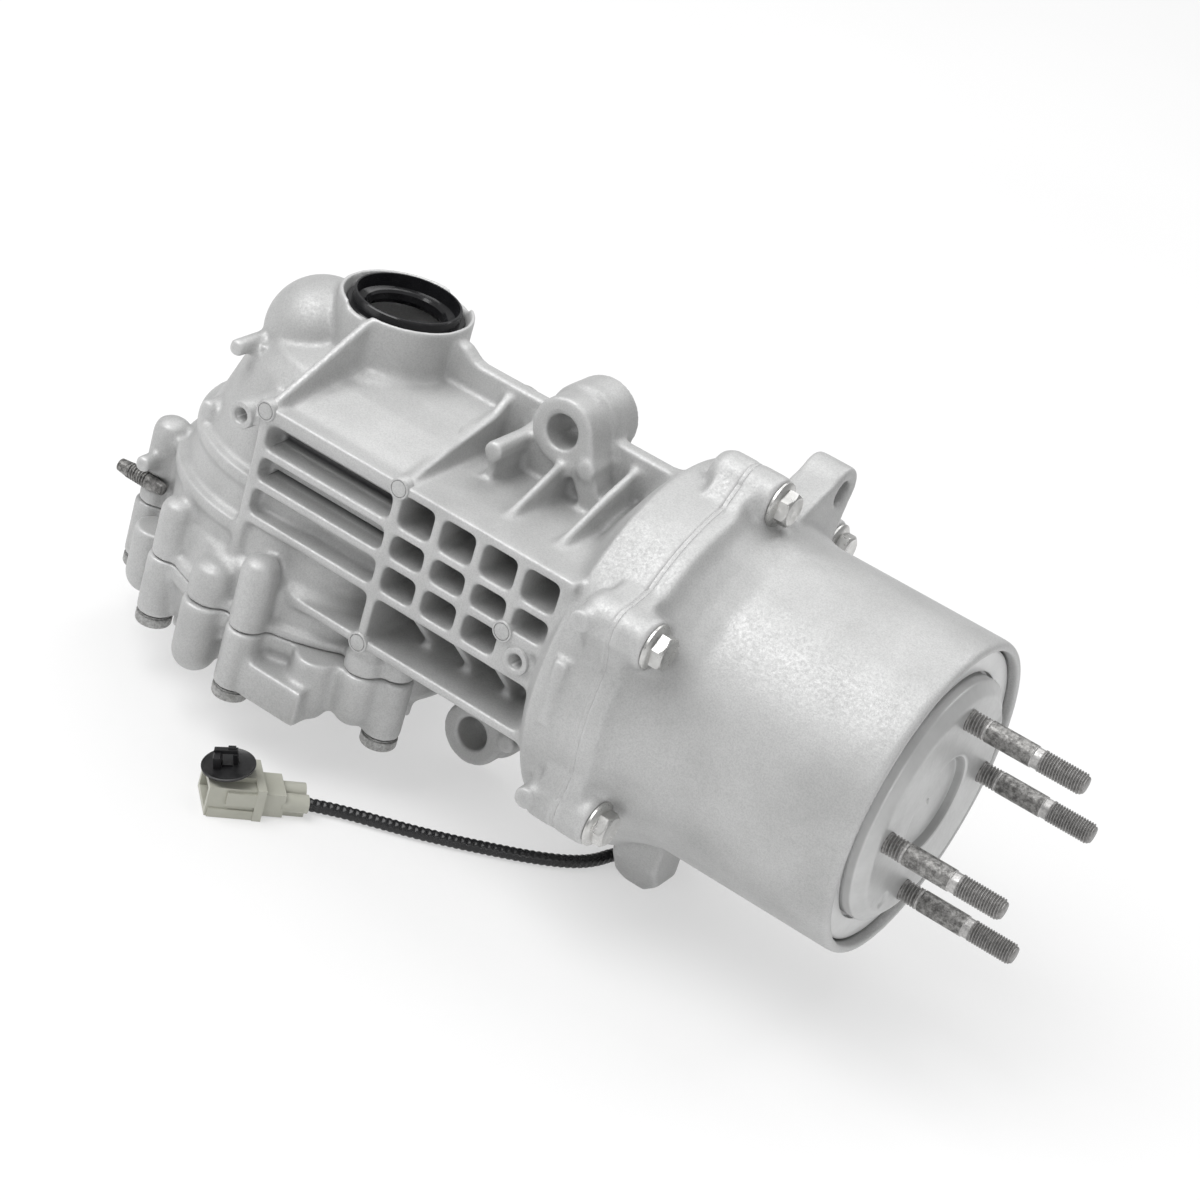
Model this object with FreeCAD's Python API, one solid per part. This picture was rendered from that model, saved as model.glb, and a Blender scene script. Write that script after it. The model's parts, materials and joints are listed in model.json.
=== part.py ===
import FreeCAD, Part
import math
import os

# Rear differential of a part-time four-wheel-drive car: an aluminium gear carrier with a side cover,
# a spiral bevel ring gear and pinion, a bevel-gear differential, and an electrically applied plate
# clutch in a drum-shaped coupling cover with a four-stud input flange.
#
# Everything is modelled from the gear centre, where the pinion axis (X) and the axle axis (Z) cross.
# Y points away from the ribbed side. On export the part is shifted so that its origin is the centre
# of the stud circle on the input flange's face. All lengths are in millimetres, angles in degrees.

V = FreeCAD.Vector
ORIGIN = V(0, 0, 0)
AXES = {"x": V(1, 0, 0), "y": V(0, 1, 0), "z": V(0, 0, 1)}

# Input end
flange_face_x = 311.0        # input flange's mating face, from the gear centre
stud_circle_d = 88.0
stud_r = 5.0                 # M10 studs
stud_count = 4
stud_length = 56.0           # what stands out of the flange
stud_neck_r = 5.6            # pressed into the flange
flange_r = 58.0
flange_thick = 12.0
flange_dish_r = 22.0
flange_dish_depth = 4.0
input_shaft_r = 22.0

# Coupling cover
cover_r = 75.0
cover_wall = 4.5
cover_face_x = 184.0         # joint face between carrier and coupling cover
cover_end_x = 307.0
cover_flange_r = 87.0
cover_flange_thick = 8.0
cover_bolt_circle_r = 89.0
cover_bolt_count = 6
cover_boss_r = 11.5
cover_boss_length = 15.5
end_wall_x = 280.0
end_wall_thick = 7.0
coupling_bolt_r = 5.0        # M10 flange bolts
spot_face_r = 11.3           # room for a bolt's washer flange

# Carrier
carrier_flange_length = 28.0
carrier_boss_length = 18.0
tube_r = 47.0
web_half = 4.0               # half thickness of the upper and lower webs
web_reach = 79.0             # height of the web's edges above and below the pinion axis
ear_x = 102.0
ear_z = 79.0
ear_bore_r = 8.0
ear_r = 15.5
ear_near_y = -20.0
ear_far_y = 16.0
rib_face_y = -76.0           # plane of the rib tips
rib_thick = 4.4
rib_pitch = 22.0             # spacing of the upright ribs right of the panel
rib_end_x = 157.0
rib_levels = (48.0, 28.5, 13.0, -4.0, -30.0)
panel_x = (-9.0, 65.0)       # upright ribs that bound the left panel
pad_r = 3.5

# Axle tower and gear chamber
tower_r = 31.0
tower_top_z = 89.0
seal_bore_r = 27.0
seal_depth = 13.0
rim_bore_r = 29.0            # wider top of the tower's bore, round the seal's lip
rim_depth = 4.0
lower_seal_recess = 3.0
chamber_r = 70.0             # inside radius round the ring gear
seam_z = -48.0               # joint face between carrier and side cover
seam_r = 84.0
cover_floor_z = -80.0
lower_rim_z = -108.0         # foot plane: lower seal rim and coupling foot stand on it
side_bolt_r = 4.0            # M8 flange bolts
side_barrel_r = 8.8
side_washer_r = 8.3

# Final drive gears
ring_teeth = 37
pinion_teeth = 15
ring_pitch_r = 66.0
gear_face = 20.0
spiral_angle = 32.0
pressure_angle = 20.0
gear_backlash = 0.30
ring_back_z = -42.0
ring_bore_r = 45.5
ring_bolt_circle_r = 56.0
ring_bolt_count = 8
ring_bolt_r = 5.0

# Differential gears
side_teeth = 14
spider_teeth = 10
diff_cone_distance = 33.0
diff_face = 11.0
diff_backlash = 0.30
diff_centre_z = 4.0
case_cavity_r = 35.0
case_r = 41.5
cross_pin_r = 8.0
side_hub_r = 16.0
output_bore_r = 12.5
run_clearance = 0.05

# Pinion shaft and its bearings
head_bearing = {"r_in": 17.5, "r_out": 36.0, "start": 73.0, "width": 20.0}
tail_bearing = {"r_in": 15.0, "r_out": 31.0, "start": 128.0, "width": 18.0}
side_bearing = {"r_in": 20.0, "r_out": 34.0, "width": 17.0}
roller_count = 12
shaft_end_x = 258.0
shaft_r = 12.5
pinion_seal_x = 161.0
pinion_seal_width = 9.0

# Clutch
drum_r = 62.0
drum_wall = 4.0
drum_x = (214.0, 266.0)
plate_thick = 1.8
plate_gap = 0.5
plate_pairs = 5
plates_start_x = 232.0
hub_r = 33.0
cam_ball_r = 3.2
cam_ball_x = 218.2
coil_r = (29.0, 55.0)

# Harness
cord_r = 3.1
grommet_r = 6.0
cord_floor_z = -104.9
cord_route = (
    (209.0, 32.0, -79.0), (204.5, 26.0, -97.0), (192.0, 17.0, cord_floor_z), (181.5, 0.0, cord_floor_z),
    (177.0, -20.0, cord_floor_z), (163.0, -36.0, cord_floor_z), (139.0, -54.0, cord_floor_z),
    (118.0, -68.0, cord_floor_z), (98.0, -79.0, cord_floor_z), (83.0, -87.0, cord_floor_z),
    (71.5, -95.5, cord_floor_z))
connector_yaw = -133.0


def cylinder(axis, r, start, end, u=0.0, v=0.0):
    """Cylinder along an axis; u and v are its place on the other two axes, in X, Y, Z order."""
    base = {"x": V(start, u, v), "y": V(u, start, v), "z": V(u, v, start)}[axis]
    return Part.makeCylinder(r, end - start, base, AXES[axis])


def tube(axis, r_out, r_in, start, end):
    return cylinder(axis, r_out, start, end).cut(cylinder(axis, r_in, start - 1, end + 1))


def block(x, y, z):
    return Part.makeBox(x[1] - x[0], y[1] - y[0], z[1] - z[0], V(x[0], y[0], z[0]))


def revolve(axis, profile):
    """Solid turned about an axis from a closed outline of (place along the axis, radius)."""
    points = [V(a, 0, r) if axis == "x" else V(r, 0, a) for a, r in profile]
    face = Part.Face(Part.makePolygon(points + points[:1]))
    return face.revolve(ORIGIN, AXES[axis], 360)


def prism(plane, outline, start, end):
    """Outline in the xy, xz or yz plane, pushed along the third axis from start to end."""
    place = {
        "xy": lambda p: V(p[0], p[1], start),
        "xz": lambda p: V(p[0], start, p[1]),
        "yz": lambda p: V(start, p[0], p[1])}[plane]
    points = [place(p) for p in outline]
    push = {"xy": V(0, 0, end - start), "xz": V(0, end - start, 0), "yz": V(end - start, 0, 0)}[plane]
    return Part.Face(Part.makePolygon(points + points[:1])).extrude(push)


def fused(shapes):
    """One solid from several, with the seams between flush faces taken out where that holds."""
    shapes = list(shapes)
    whole = shapes[0]
    for shape in shapes[1:]:
        whole = whole.fuse(shape)
    merged = whole.copy().removeSplitter()
    return merged if merged.isValid() and abs(merged.Volume - whole.Volume) < 1 else whole


def cut(shape, tools):
    for tool in tools:
        shape = shape.cut(tool)
    return shape


def turned(shape, axis, angle, centre=ORIGIN):
    copy = shape.copy()
    copy.rotate(centre, AXES[axis], angle)
    return copy


def moved(shape, x=0.0, y=0.0, z=0.0):
    copy = shape.copy()
    copy.translate(V(x, y, z))
    return copy


def on_circle(r, angle):
    """Place on a circle about the pinion axis; 0 is up and 90 is towards the ribbed side."""
    a = math.radians(angle)
    return -r * math.sin(a), r * math.cos(a)


def flange_bolt(axis_dir, seat, shank_r, grip, flange_r_bolt, flange_t, across_flats, head_h):
    """Hexagon bolt with a washer flange. Its shank runs from the seat along axis_dir."""
    shank = Part.makeCylinder(shank_r, grip, seat, axis_dir)
    washer = Part.makeCone(flange_r_bolt, flange_r_bolt - 0.6, flange_t, seat, axis_dir * -1)
    corner_r = across_flats / math.sqrt(3)
    points = [V(corner_r * math.cos(math.radians(60 * k)), corner_r * math.sin(math.radians(60 * k)), 0)
              for k in range(6)]
    hexagon = Part.Face(Part.makePolygon(points + points[:1])).extrude(V(0, 0, head_h))
    hexagon.Placement = FreeCAD.Placement(seat, FreeCAD.Rotation(V(0, 0, 1), axis_dir * -1))
    return fused([shank, washer, hexagon])


# Gears

def involute_azimuth(polar, base):
    """Azimuth that a spherical involute has turned through at a polar angle, from its base cone."""
    if polar <= base:
        return 0.0
    around = math.acos(math.cos(polar) / math.cos(base)) / math.sin(base)
    return around - math.acos(math.tan(base) / math.tan(polar))


def bevel_tooth(teeth, cone, outer_r, face, addendum, dedendum, backlash, spiral, hand, stations):
    """One tooth of a bevel gear with its apex at the origin and its axis along +Z."""
    base = math.asin(math.sin(cone) * math.cos(math.radians(pressure_angle)))
    tip = cone + math.atan(addendum / outer_r)
    root = cone - math.atan(dedendum / outer_r)
    mean_r = outer_r - face / 2
    half_pitch = math.pi / (2 * teeth) - backlash / (2 * mean_r * math.sin(cone))
    sunk = root - math.radians(1.2)
    heights = [sunk, root, (root + cone) / 2, (cone + tip) / 2, tip]
    flank = []
    for polar in heights:
        half = half_pitch + involute_azimuth(cone, base) - involute_azimuth(max(polar, root), base)
        flank.append((polar, half))
    outline = [(p, -h) for p, h in flank] + [(p, h) for p, h in reversed(flank)]

    def trace(r):
        return hand * math.tan(math.radians(spiral)) / math.sin(cone) * math.log(r / mean_r)

    wires = []
    for k in range(stations):
        r_station = outer_r - face + face * k / (stations - 1)
        turn = trace(r_station)
        normal = V(math.sin(cone) * math.cos(turn), math.sin(cone) * math.sin(turn), math.cos(cone))
        points = []
        for polar, side in outline:
            r = r_station
            for _ in range(6):
                azimuth = trace(r) + side
                ray = V(math.sin(polar) * math.cos(azimuth), math.sin(polar) * math.sin(azimuth),
                        math.cos(polar))
                r = r_station / ray.dot(normal)
            points.append(ray * r)
        wires.append(Part.makePolygon(points + points[:1]))
    return Part.makeLoft(wires, True, True)


def bevel_gear(blank, teeth, phase, **tooth_sizes):
    """Blank with its teeth; phase is the first tooth's azimuth, in degrees."""
    tooth = bevel_tooth(teeth, **tooth_sizes)
    copies = [turned(tooth, "z", phase + 360.0 * k / teeth) for k in range(teeth)]
    return blank.multiFuse(copies)


ring_cone = math.atan2(ring_teeth, pinion_teeth)
pinion_cone = math.pi / 2 - ring_cone
cone_distance = ring_pitch_r / math.sin(ring_cone)
gear_module = 2 * ring_pitch_r / ring_teeth
pinion_addendum = 0.95 * gear_module
ring_addendum = 0.65 * gear_module
gear_tip_gap = 0.17 * gear_module
gear_stations = 5


def cone_point(polar, r):
    return r * math.cos(polar), r * math.sin(polar)


def ring_gear():
    root = ring_cone - math.atan((pinion_addendum + gear_tip_gap) / cone_distance)
    toe_z, toe_r = cone_point(root, cone_distance - gear_face)
    heel_z, heel_r = cone_point(root, cone_distance)
    edge_r = ring_pitch_r + 0.5
    blank = revolve("z", [
        (toe_z + 0.3, ring_bore_r), (toe_z, toe_r), (heel_z, heel_r), (heel_z + 1.2, edge_r),
        (-ring_back_z, edge_r), (-ring_back_z, ring_bore_r)])
    gear = bevel_gear(
        blank, ring_teeth, 0.0, cone=ring_cone, outer_r=cone_distance, face=gear_face,
        addendum=ring_addendum, dedendum=pinion_addendum + gear_tip_gap, backlash=gear_backlash,
        spiral=spiral_angle, hand=1, stations=gear_stations)
    gear = turned(gear, "x", 180)
    holes = []
    for k in range(ring_bolt_count):
        a = 2 * math.pi * k / ring_bolt_count
        holes.append(cylinder("z", ring_bolt_r, ring_back_z - 1, ring_back_z + 11,
                              ring_bolt_circle_r * math.cos(a), ring_bolt_circle_r * math.sin(a)))
    return cut(gear, holes)


def drive_pinion():
    root = pinion_cone - math.atan((ring_addendum + gear_tip_gap) / cone_distance)
    toe_x, toe_r = cone_point(root, cone_distance - gear_face)
    heel_x, heel_r = cone_point(root, cone_distance)
    head = head_bearing
    tail = tail_bearing
    blank = revolve("z", [
        (toe_x, 0), (toe_x, toe_r), (heel_x, heel_r), (head["start"] - 2, head["r_in"] + 4),
        (head["start"], head["r_in"] + 4), (head["start"], head["r_in"]),
        (head["start"] + head["width"], head["r_in"]), (head["start"] + head["width"], tail["r_in"] + 1),
        (tail["start"] - 1, tail["r_in"] + 1), (tail["start"], tail["r_in"]),
        (pinion_seal_x - 2, tail["r_in"]), (pinion_seal_x - 1, shaft_r), (shaft_end_x, shaft_r),
        (shaft_end_x, 0)])
    gear = bevel_gear(
        blank, pinion_teeth, 180.0 / pinion_teeth, cone=pinion_cone, outer_r=cone_distance,
        face=gear_face, addendum=pinion_addendum, dedendum=ring_addendum + gear_tip_gap,
        backlash=gear_backlash, spiral=spiral_angle, hand=-1, stations=gear_stations)
    gear.Placement = FreeCAD.Placement(ORIGIN, FreeCAD.Rotation(V(0, 0, -1), V(0, 1, 0), V(1, 0, 0), "XYZ"))
    return gear


diff_module = 2 * diff_cone_distance * math.sin(math.atan2(side_teeth, spider_teeth)) / side_teeth
side_cone = math.atan2(side_teeth, spider_teeth)
spider_cone = math.pi / 2 - side_cone
side_addendum = 0.65 * diff_module
spider_addendum = 0.85 * diff_module
diff_tip_gap = 0.25 * diff_module
side_back = 26.3             # side gear's back face, from the differential's centre
washer_thick = 1.0
spider_back_r = 33.7


def side_gear():
    """Upper side gear about the differential's centre."""
    root = side_cone - math.atan((spider_addendum + diff_tip_gap) / diff_cone_distance)
    toe_z, toe_r = cone_point(root, diff_cone_distance - diff_face)
    heel_z, heel_r = cone_point(root, diff_cone_distance)
    edge_r = heel_r + 0.3
    blank = revolve("z", [
        (toe_z, output_bore_r), (toe_z, toe_r), (heel_z, heel_r), (heel_z + 2, edge_r),
        (side_back, edge_r - 3), (side_back, side_hub_r - run_clearance),
        (side_back + 18, side_hub_r - run_clearance), (side_back + 18, output_bore_r)])
    return bevel_gear(
        blank, side_teeth, 90 + 180.0 / side_teeth, cone=side_cone, outer_r=diff_cone_distance, face=diff_face,
        addendum=side_addendum, dedendum=spider_addendum + diff_tip_gap, backlash=diff_backlash,
        spiral=0.0, hand=1, stations=2)


def spider_gear():
    """Spider gear about the differential's centre, its axis along +Z."""
    root = spider_cone - math.atan((side_addendum + diff_tip_gap) / diff_cone_distance)
    toe_z, toe_r = cone_point(root, diff_cone_distance - diff_face)
    heel_z, heel_r = cone_point(root, diff_cone_distance)
    bore_r = cross_pin_r + run_clearance
    blank = revolve("z", [
        (toe_z, bore_r), (toe_z, toe_r), (heel_z, heel_r), (heel_z + 2, heel_r - 1),
        (spider_back_r, heel_r - 5), (spider_back_r, bore_r)])
    gear = bevel_gear(
        blank, spider_teeth, 90.0, cone=spider_cone, outer_r=diff_cone_distance, face=diff_face,
        addendum=spider_addendum, dedendum=side_addendum + diff_tip_gap, backlash=diff_backlash,
        spiral=0.0, hand=1, stations=2)
    return gear.common(Part.makeSphere(spider_back_r))


def tapered_bearing(r_in, r_out, width, count=roller_count):
    """Cup and cone of a tapered roller bearing along +Z; its large end is at 0."""
    slope = math.tan(math.radians(12))
    section = r_out - r_in
    roller_r = 0.17 * section
    cup_large = r_out - 0.15 * section
    cup = revolve("z", [(0, cup_large), (0, r_out), (width, r_out), (width, cup_large - width * slope)])
    axis_large = cup_large - roller_r / math.cos(math.radians(12)) - run_clearance
    cone_large = axis_large - roller_r / math.cos(math.radians(12)) - run_clearance
    cone = revolve("z", [(0, r_in), (0, cone_large), (width, cone_large - width * slope), (width, r_in)])
    end = 2.0
    direction = V(-slope, 0, 1)
    length = (width - 2 * end) / math.cos(math.radians(12))
    roller = Part.makeCylinder(roller_r, length, V(axis_large - end * slope, 0, end), direction)
    rollers = [turned(roller, "z", 360.0 * k / count) for k in range(count)]
    return cup, Part.makeCompound([cone] + rollers)


def along_x(shape, start, reverse=False):
    """Lays a shape that runs along +Z out along the pinion axis from start."""
    return moved(turned(shape, "y", -90 if reverse else 90), x=start)


def shaft_bearings():
    """Head and tail bearing: large ends towards the pinion and towards the nut."""
    head_cup, head_cone = tapered_bearing(head_bearing["r_in"], head_bearing["r_out"], head_bearing["width"])
    tail_cup, tail_cone = tapered_bearing(tail_bearing["r_in"], tail_bearing["r_out"], tail_bearing["width"])
    tail_end = tail_bearing["start"] + tail_bearing["width"]
    return {
        "pinion_head_bearing_cup": along_x(head_cup, head_bearing["start"]),
        "pinion_head_bearing_cone": along_x(head_cone, head_bearing["start"]),
        "pinion_tail_bearing_cup": along_x(tail_cup, tail_end, reverse=True),
        "pinion_tail_bearing_cone": along_x(tail_cone, tail_end, reverse=True)}


upper_seat_z = 45.0          # where the upper side bearing's large end starts
lower_seat_z = -57.0


def side_bearings():
    cup, cone = tapered_bearing(side_bearing["r_in"], side_bearing["r_out"], side_bearing["width"])
    return {
        "upper_side_bearing_cup": moved(cup, z=upper_seat_z),
        "upper_side_bearing_cone": moved(cone, z=upper_seat_z),
        "lower_side_bearing_cup": moved(turned(cup, "x", 180), z=lower_seat_z),
        "lower_side_bearing_cone": moved(turned(cone, "x", 180), z=lower_seat_z)}


# Differential

def diff_case():
    trunnion_r = side_bearing["r_in"]
    upper_end = upper_seat_z + side_bearing["width"] + 1
    lower_end = lower_seat_z - side_bearing["width"] - 1
    flange_back = ring_back_z - 9
    body = revolve("z", [
        (lower_end, 0), (lower_end, trunnion_r), (lower_seat_z, trunnion_r), (lower_seat_z, trunnion_r + 4),
        (flange_back - 2, trunnion_r + 10), (flange_back, 42), (flange_back, ring_pitch_r),
        (ring_back_z, ring_pitch_r), (ring_back_z, ring_bore_r), (ring_back_z + 11, ring_bore_r),
        (ring_back_z + 14, case_r), (diff_centre_z + 18, case_r), (diff_centre_z + 31, case_r - 13),
        (upper_seat_z - 2, trunnion_r + 4), (upper_seat_z, trunnion_r + 4), (upper_seat_z, trunnion_r),
        (upper_end, trunnion_r), (upper_end, 0)])
    flat = side_back + washer_thick + 0.2
    cavity = Part.makeSphere(case_cavity_r, V(0, 0, diff_centre_z))
    cavity = cavity.common(cylinder("z", case_cavity_r, diff_centre_z - flat, diff_centre_z + flat))
    window = block((-2 * case_r, 2 * case_r), (-19, 19), (diff_centre_z - 19, diff_centre_z + 19))
    tools = [
        cavity, window,
        cylinder("z", side_hub_r, diff_centre_z - flat - 19, diff_centre_z + flat + 19),
        cylinder("z", output_bore_r + 2, lower_end - 1, upper_end + 1),
        cylinder("y", cross_pin_r, -case_r - 1, case_r + 1, 0, diff_centre_z),
        lock_pin()]
    for k in range(ring_bolt_count):
        a = 2 * math.pi * k / ring_bolt_count
        tools.append(cylinder("z", ring_bolt_r + 0.3, flange_back - 1, ring_back_z + 1,
                              ring_bolt_circle_r * math.cos(a), ring_bolt_circle_r * math.sin(a)))
    return cut(body, tools)


def lock_pin():
    """Small pin down through the case wall and the cross pin's end."""
    y = -(case_cavity_r + case_r) / 2
    return cylinder("z", 1.6, diff_centre_z - 12, diff_centre_z + 12, 0, y)


def ring_gear_bolts():
    bolts = []
    for k in range(ring_bolt_count):
        a = 2 * math.pi * k / ring_bolt_count
        seat = V(ring_bolt_circle_r * math.cos(a), ring_bolt_circle_r * math.sin(a), ring_back_z - 9)
        bolts.append(flange_bolt(V(0, 0, 1), seat, ring_bolt_r, 18, 8.5, 1.5, 14, 6))
    return Part.makeCompound(bolts)


def differential():
    gear = side_gear()
    spider = spider_gear()
    centre = V(0, 0, diff_centre_z)
    washer = tube("z", 21, side_hub_r + 0.3, side_back + 0.1, side_back + 0.1 + washer_thick)
    shell = Part.makeSphere(spider_back_r + 1.1).cut(Part.makeSphere(spider_back_r + 0.1))
    cup = shell.common(cylinder("z", 14, 20, 50)).cut(cylinder("z", cross_pin_r + 0.2, 0, 50))
    pieces = {
        "upper_side_gear": gear,
        "lower_side_gear": turned(gear, "x", 180),
        "rear_spider_gear": turned(spider, "x", -90),
        "front_spider_gear": turned(spider, "x", 90),
        "thrust_washers": Part.makeCompound([
            washer, turned(washer, "x", 180), turned(cup, "x", 90), turned(cup, "x", -90)]),
        "cross_pin": cylinder("y", cross_pin_r, -case_r + 0.5, case_r - 0.5)}
    for shape in pieces.values():
        shape.translate(centre)
    pieces["cross_pin_lock"] = lock_pin()
    pieces["cross_pin"] = pieces["cross_pin"].cut(lock_pin())
    pieces["diff_case"] = diff_case()
    pieces["ring_gear"] = ring_gear()
    pieces["ring_gear_bolts"] = ring_gear_bolts()
    return pieces


# Carrier casting

# Bolt columns of the side cover: place on X and Y, and how far the carrier's boss reaches above
# the joint face. Those on the ribbed side are placed as seen, the rest follow the same circle.
side_columns = (
    (-84.0, -36.0, 44.0), (-47.0, -69.0, 30.0), (13.0, -85.0, 36.0), (77.0, -57.0, 16.0),
    (-84.0, 34.0, 30.0), (-46.0, 78.0, 26.0), (12.0, 90.0, 26.0), (66.0, 66.0, 16.0))


def chamber_outer():
    """Turned outside of the gear chamber: axle tower, shoulder and the steps down to the joint."""
    return revolve("z", [
        (seam_z, 0), (seam_z, seam_r), (seam_z + 4, seam_r), (seam_z + 6, 80), (-27, 79), (-23, 74),
        (-10, 73), (-6, 68), (6, 67), (10, 62), (24, 61), (40, 57), (51, 51), (59, 43), (64, 35),
        (66, tower_r), (tower_top_z, tower_r), (tower_top_z, 0)])


def chamber_bulge():
    """Fuller wall on the side away from the flange, set off from the axle axis."""
    return moved(revolve("z", [
        (seam_z, 0), (seam_z, 71), (-20, 72), (4, 66), (30, 57), (48, 51), (58, 44), (64, 30), (64, 0)]),
        x=-12, y=-1)


def domed_column(x, y, r, reach):
    """Bolt column that stands on the joint face and ends in a dome."""
    return moved(revolve("z", [
        (0, 0), (0, r), (reach - 0.75 * r, r), (reach - 0.3 * r, 0.85 * r), (reach - 0.06 * r, 0.45 * r),
        (reach, 0)]), x=x, y=y, z=seam_z)


def chamber_cavity():
    bearing_end = upper_seat_z + side_bearing["width"]
    return revolve("z", [
        (seam_z - 1, 0), (seam_z - 1, chamber_r), (-17, chamber_r), (-3, 57), (30, 54), (40, 46),
        (upper_seat_z, 45), (upper_seat_z, side_bearing["r_out"]), (bearing_end, side_bearing["r_out"]),
        (bearing_end, 25), (tower_top_z - seal_depth, 25), (tower_top_z - seal_depth, seal_bore_r),
        (tower_top_z - rim_depth, seal_bore_r), (tower_top_z - rim_depth, rim_bore_r),
        (tower_top_z + 1, rim_bore_r), (tower_top_z + 1, 0)])


def pinion_bores():
    head = head_bearing
    tail = tail_bearing
    head_end = head["start"] + head["width"]
    return revolve("x", [
        (40, 0), (40, head["r_out"]), (head_end, head["r_out"]), (head_end, head["r_out"] - 5),
        (head_end + 6, tail["r_out"] - 4), (tail["start"], tail["r_out"] - 4),
        (tail["start"], tail["r_out"]), (pinion_seal_x + pinion_seal_width, tail["r_out"]),
        (pinion_seal_x + pinion_seal_width + 1, 60), (cover_face_x + 1, 66), (cover_face_x + 1, 0)])


def upright_positions():
    """Upright ribs right of the panel's edge, to the flange."""
    first = panel_x[1] + rib_pitch
    count = int((rib_end_x - first) / rib_pitch) + 1
    return [first + rib_pitch * k for k in range(count)]


def front_ribs():
    half = rib_thick / 2
    top = rib_levels[0]
    low = rib_levels[-1]
    parts = []
    for z in rib_levels:
        parts.append(block((panel_x[0], rib_end_x), (rib_face_y, 0), (z - half, z + half)))
    for z_a, z_b in zip(rib_levels[:-2], rib_levels[1:-1]):
        z = (z_a + z_b) / 2
        parts.append(block((panel_x[0], panel_x[1]), (rib_face_y + 11, 0), (z - 2.2, z + 2.2)))
    for x in panel_x:
        parts.append(block((x - half, x + half), (rib_face_y, 0), (low - half, top + half)))
    for x in upright_positions():
        parts.append(block((x - half, x + half), (rib_face_y, 0), (rib_levels[-2], top)))
        parts.append(prism("yz", [
            (rib_face_y, rib_levels[-2]), (rib_face_y + 26, low), (0, low), (0, rib_levels[-2])],
            x - half, x + half))
    return parts


def panel_and_gussets():
    """Roof over the panel, the two ribs that bound it, and the gussets under the upper ear."""
    top = rib_levels[0]
    left, right = panel_x
    parts = [prism("yz", [
        (rib_face_y + 1, top - 5), (rib_face_y + 1, top - 1), (-62, 53), (-44, 60), (-26, 64), (0, 66),
        (0, 28), (-50, 30)], left, right)]
    rib_profile = [(rib_face_y, top - 6), (rib_face_y, top + 2), (-tower_r, tower_top_z - 2),
                   (-6, tower_top_z - 2), (-6, 40)]
    slanted = prism("yz", rib_profile, -2.2, 2.2)
    slanted.rotate(V(0, rib_face_y, 0), AXES["z"], -14)
    slanted.translate(V(left, 0, 0))
    parts.append(slanted)
    parts.append(prism("yz", [
        (rib_face_y, top - 6), (rib_face_y, top + 2), (-14, 68), (0, web_reach), (0, 30)],
        right - 2.2, right + 2.2))
    for x in (107.0, 134.0):
        parts.append(prism("yz", [(-60, 40), (-60, top + 1), (-24, 66), (0, web_reach - 4), (0, 40)],
                           x - 2, x + 2))
    return parts


def web_and_ears():
    parts = [
        prism("xz", [
            (15, 20), (15, 84), (36, 84), (44, web_reach), (150, web_reach), (cover_face_x - 18, 84),
            (cover_face_x - 18, -84), (150, -web_reach), (60, -web_reach), (60, seam_z), (50, seam_z),
            (50, 20)], -web_half, web_half)]
    for side in (1, -1):
        z = side * ear_z
        parts.append(cylinder("y", ear_r, ear_near_y, -4, ear_x, z))
        parts.append(cylinder("y", ear_r + 2, -4, ear_far_y, ear_x, z))
        leg = [(ear_x - ear_r, z), (ear_x + ear_r, z), (ear_x + ear_r + 6, side * 36),
               (ear_x - ear_r - 2, side * 36)]
        parts.append(prism("xz", leg, -13, ear_far_y))
        parts.append(prism("xz", [
            (ear_x + 8, side * (ear_z - 13)), (ear_x + ear_r - 0.4, side * (ear_z + 3)),
            (ear_x + 36, side * 36), (ear_x + 29, side * 36)], ear_near_y, 0))
    parts.append(cylinder("y", 4.5, ear_near_y - 2, 0, ear_x + 17, ear_z - 10))
    parts.append(cylinder("y", 4.5, ear_near_y - 2, 0, ear_x + 19, -ear_z + 6))
    parts.append(cylinder("y", 4.5, -38, 0, 82, 64))
    parts.append(prism("yz", [(-36, 44), (-36, 60), (0, 74), (0, 44)], 80, 84))
    return parts


def pads_and_bosses():
    """Round pads at the rib crossings, bored bosses, domed bolt columns and the rear lobe."""
    pad_y = rib_face_y - 0.8
    parts = [cylinder("y", pad_r, pad_y, 0, x, z) for x, z in (
        (panel_x[0], rib_levels[0]), (panel_x[0], rib_levels[-1]), (panel_x[1], rib_levels[0]),
        (panel_x[1], rib_levels[-1]), (upright_positions()[2], rib_levels[2]))]
    parts += [cylinder("y", 6.2, rib_face_y, 0, x, z) for x, z in (
        (panel_x[0] - 12, rib_levels[0] - 8), (upright_positions()[2] + 10, 3.5))]
    parts += [
        cylinder("y", 4, -50, -10, -58, 17), cylinder("y", 4, -50, -10, -50, 52),
        cylinder("y", 4, -54, -34, -83, -24)]
    for x, y, reach in side_columns:
        parts.append(domed_column(x * 0.985, y * 0.985, side_barrel_r, reach))
        parts.append(spoke(x, y, 7.5, seam_z, seam_z + reach * 0.7))
    parts.append(domed_column(65, -65, 9.5, 15))
    parts.append(domed_column(-12, -80, 11, 20))
    parts.append(Part.makeSphere(27, V(-34, -8, 57)))
    parts.append(cylinder("z", 26, 10, 57, -34, -8))
    return parts


def spoke(x, y, half, low, high):
    """Flat bridge from the chamber wall out to a bolt column."""
    length = math.hypot(x, y)
    inner = seam_r - 16
    bridge = block((inner, length), (-half, half), (low, high))
    bridge.rotate(ORIGIN, AXES["z"], math.degrees(math.atan2(y, x)))
    return bridge


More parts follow.
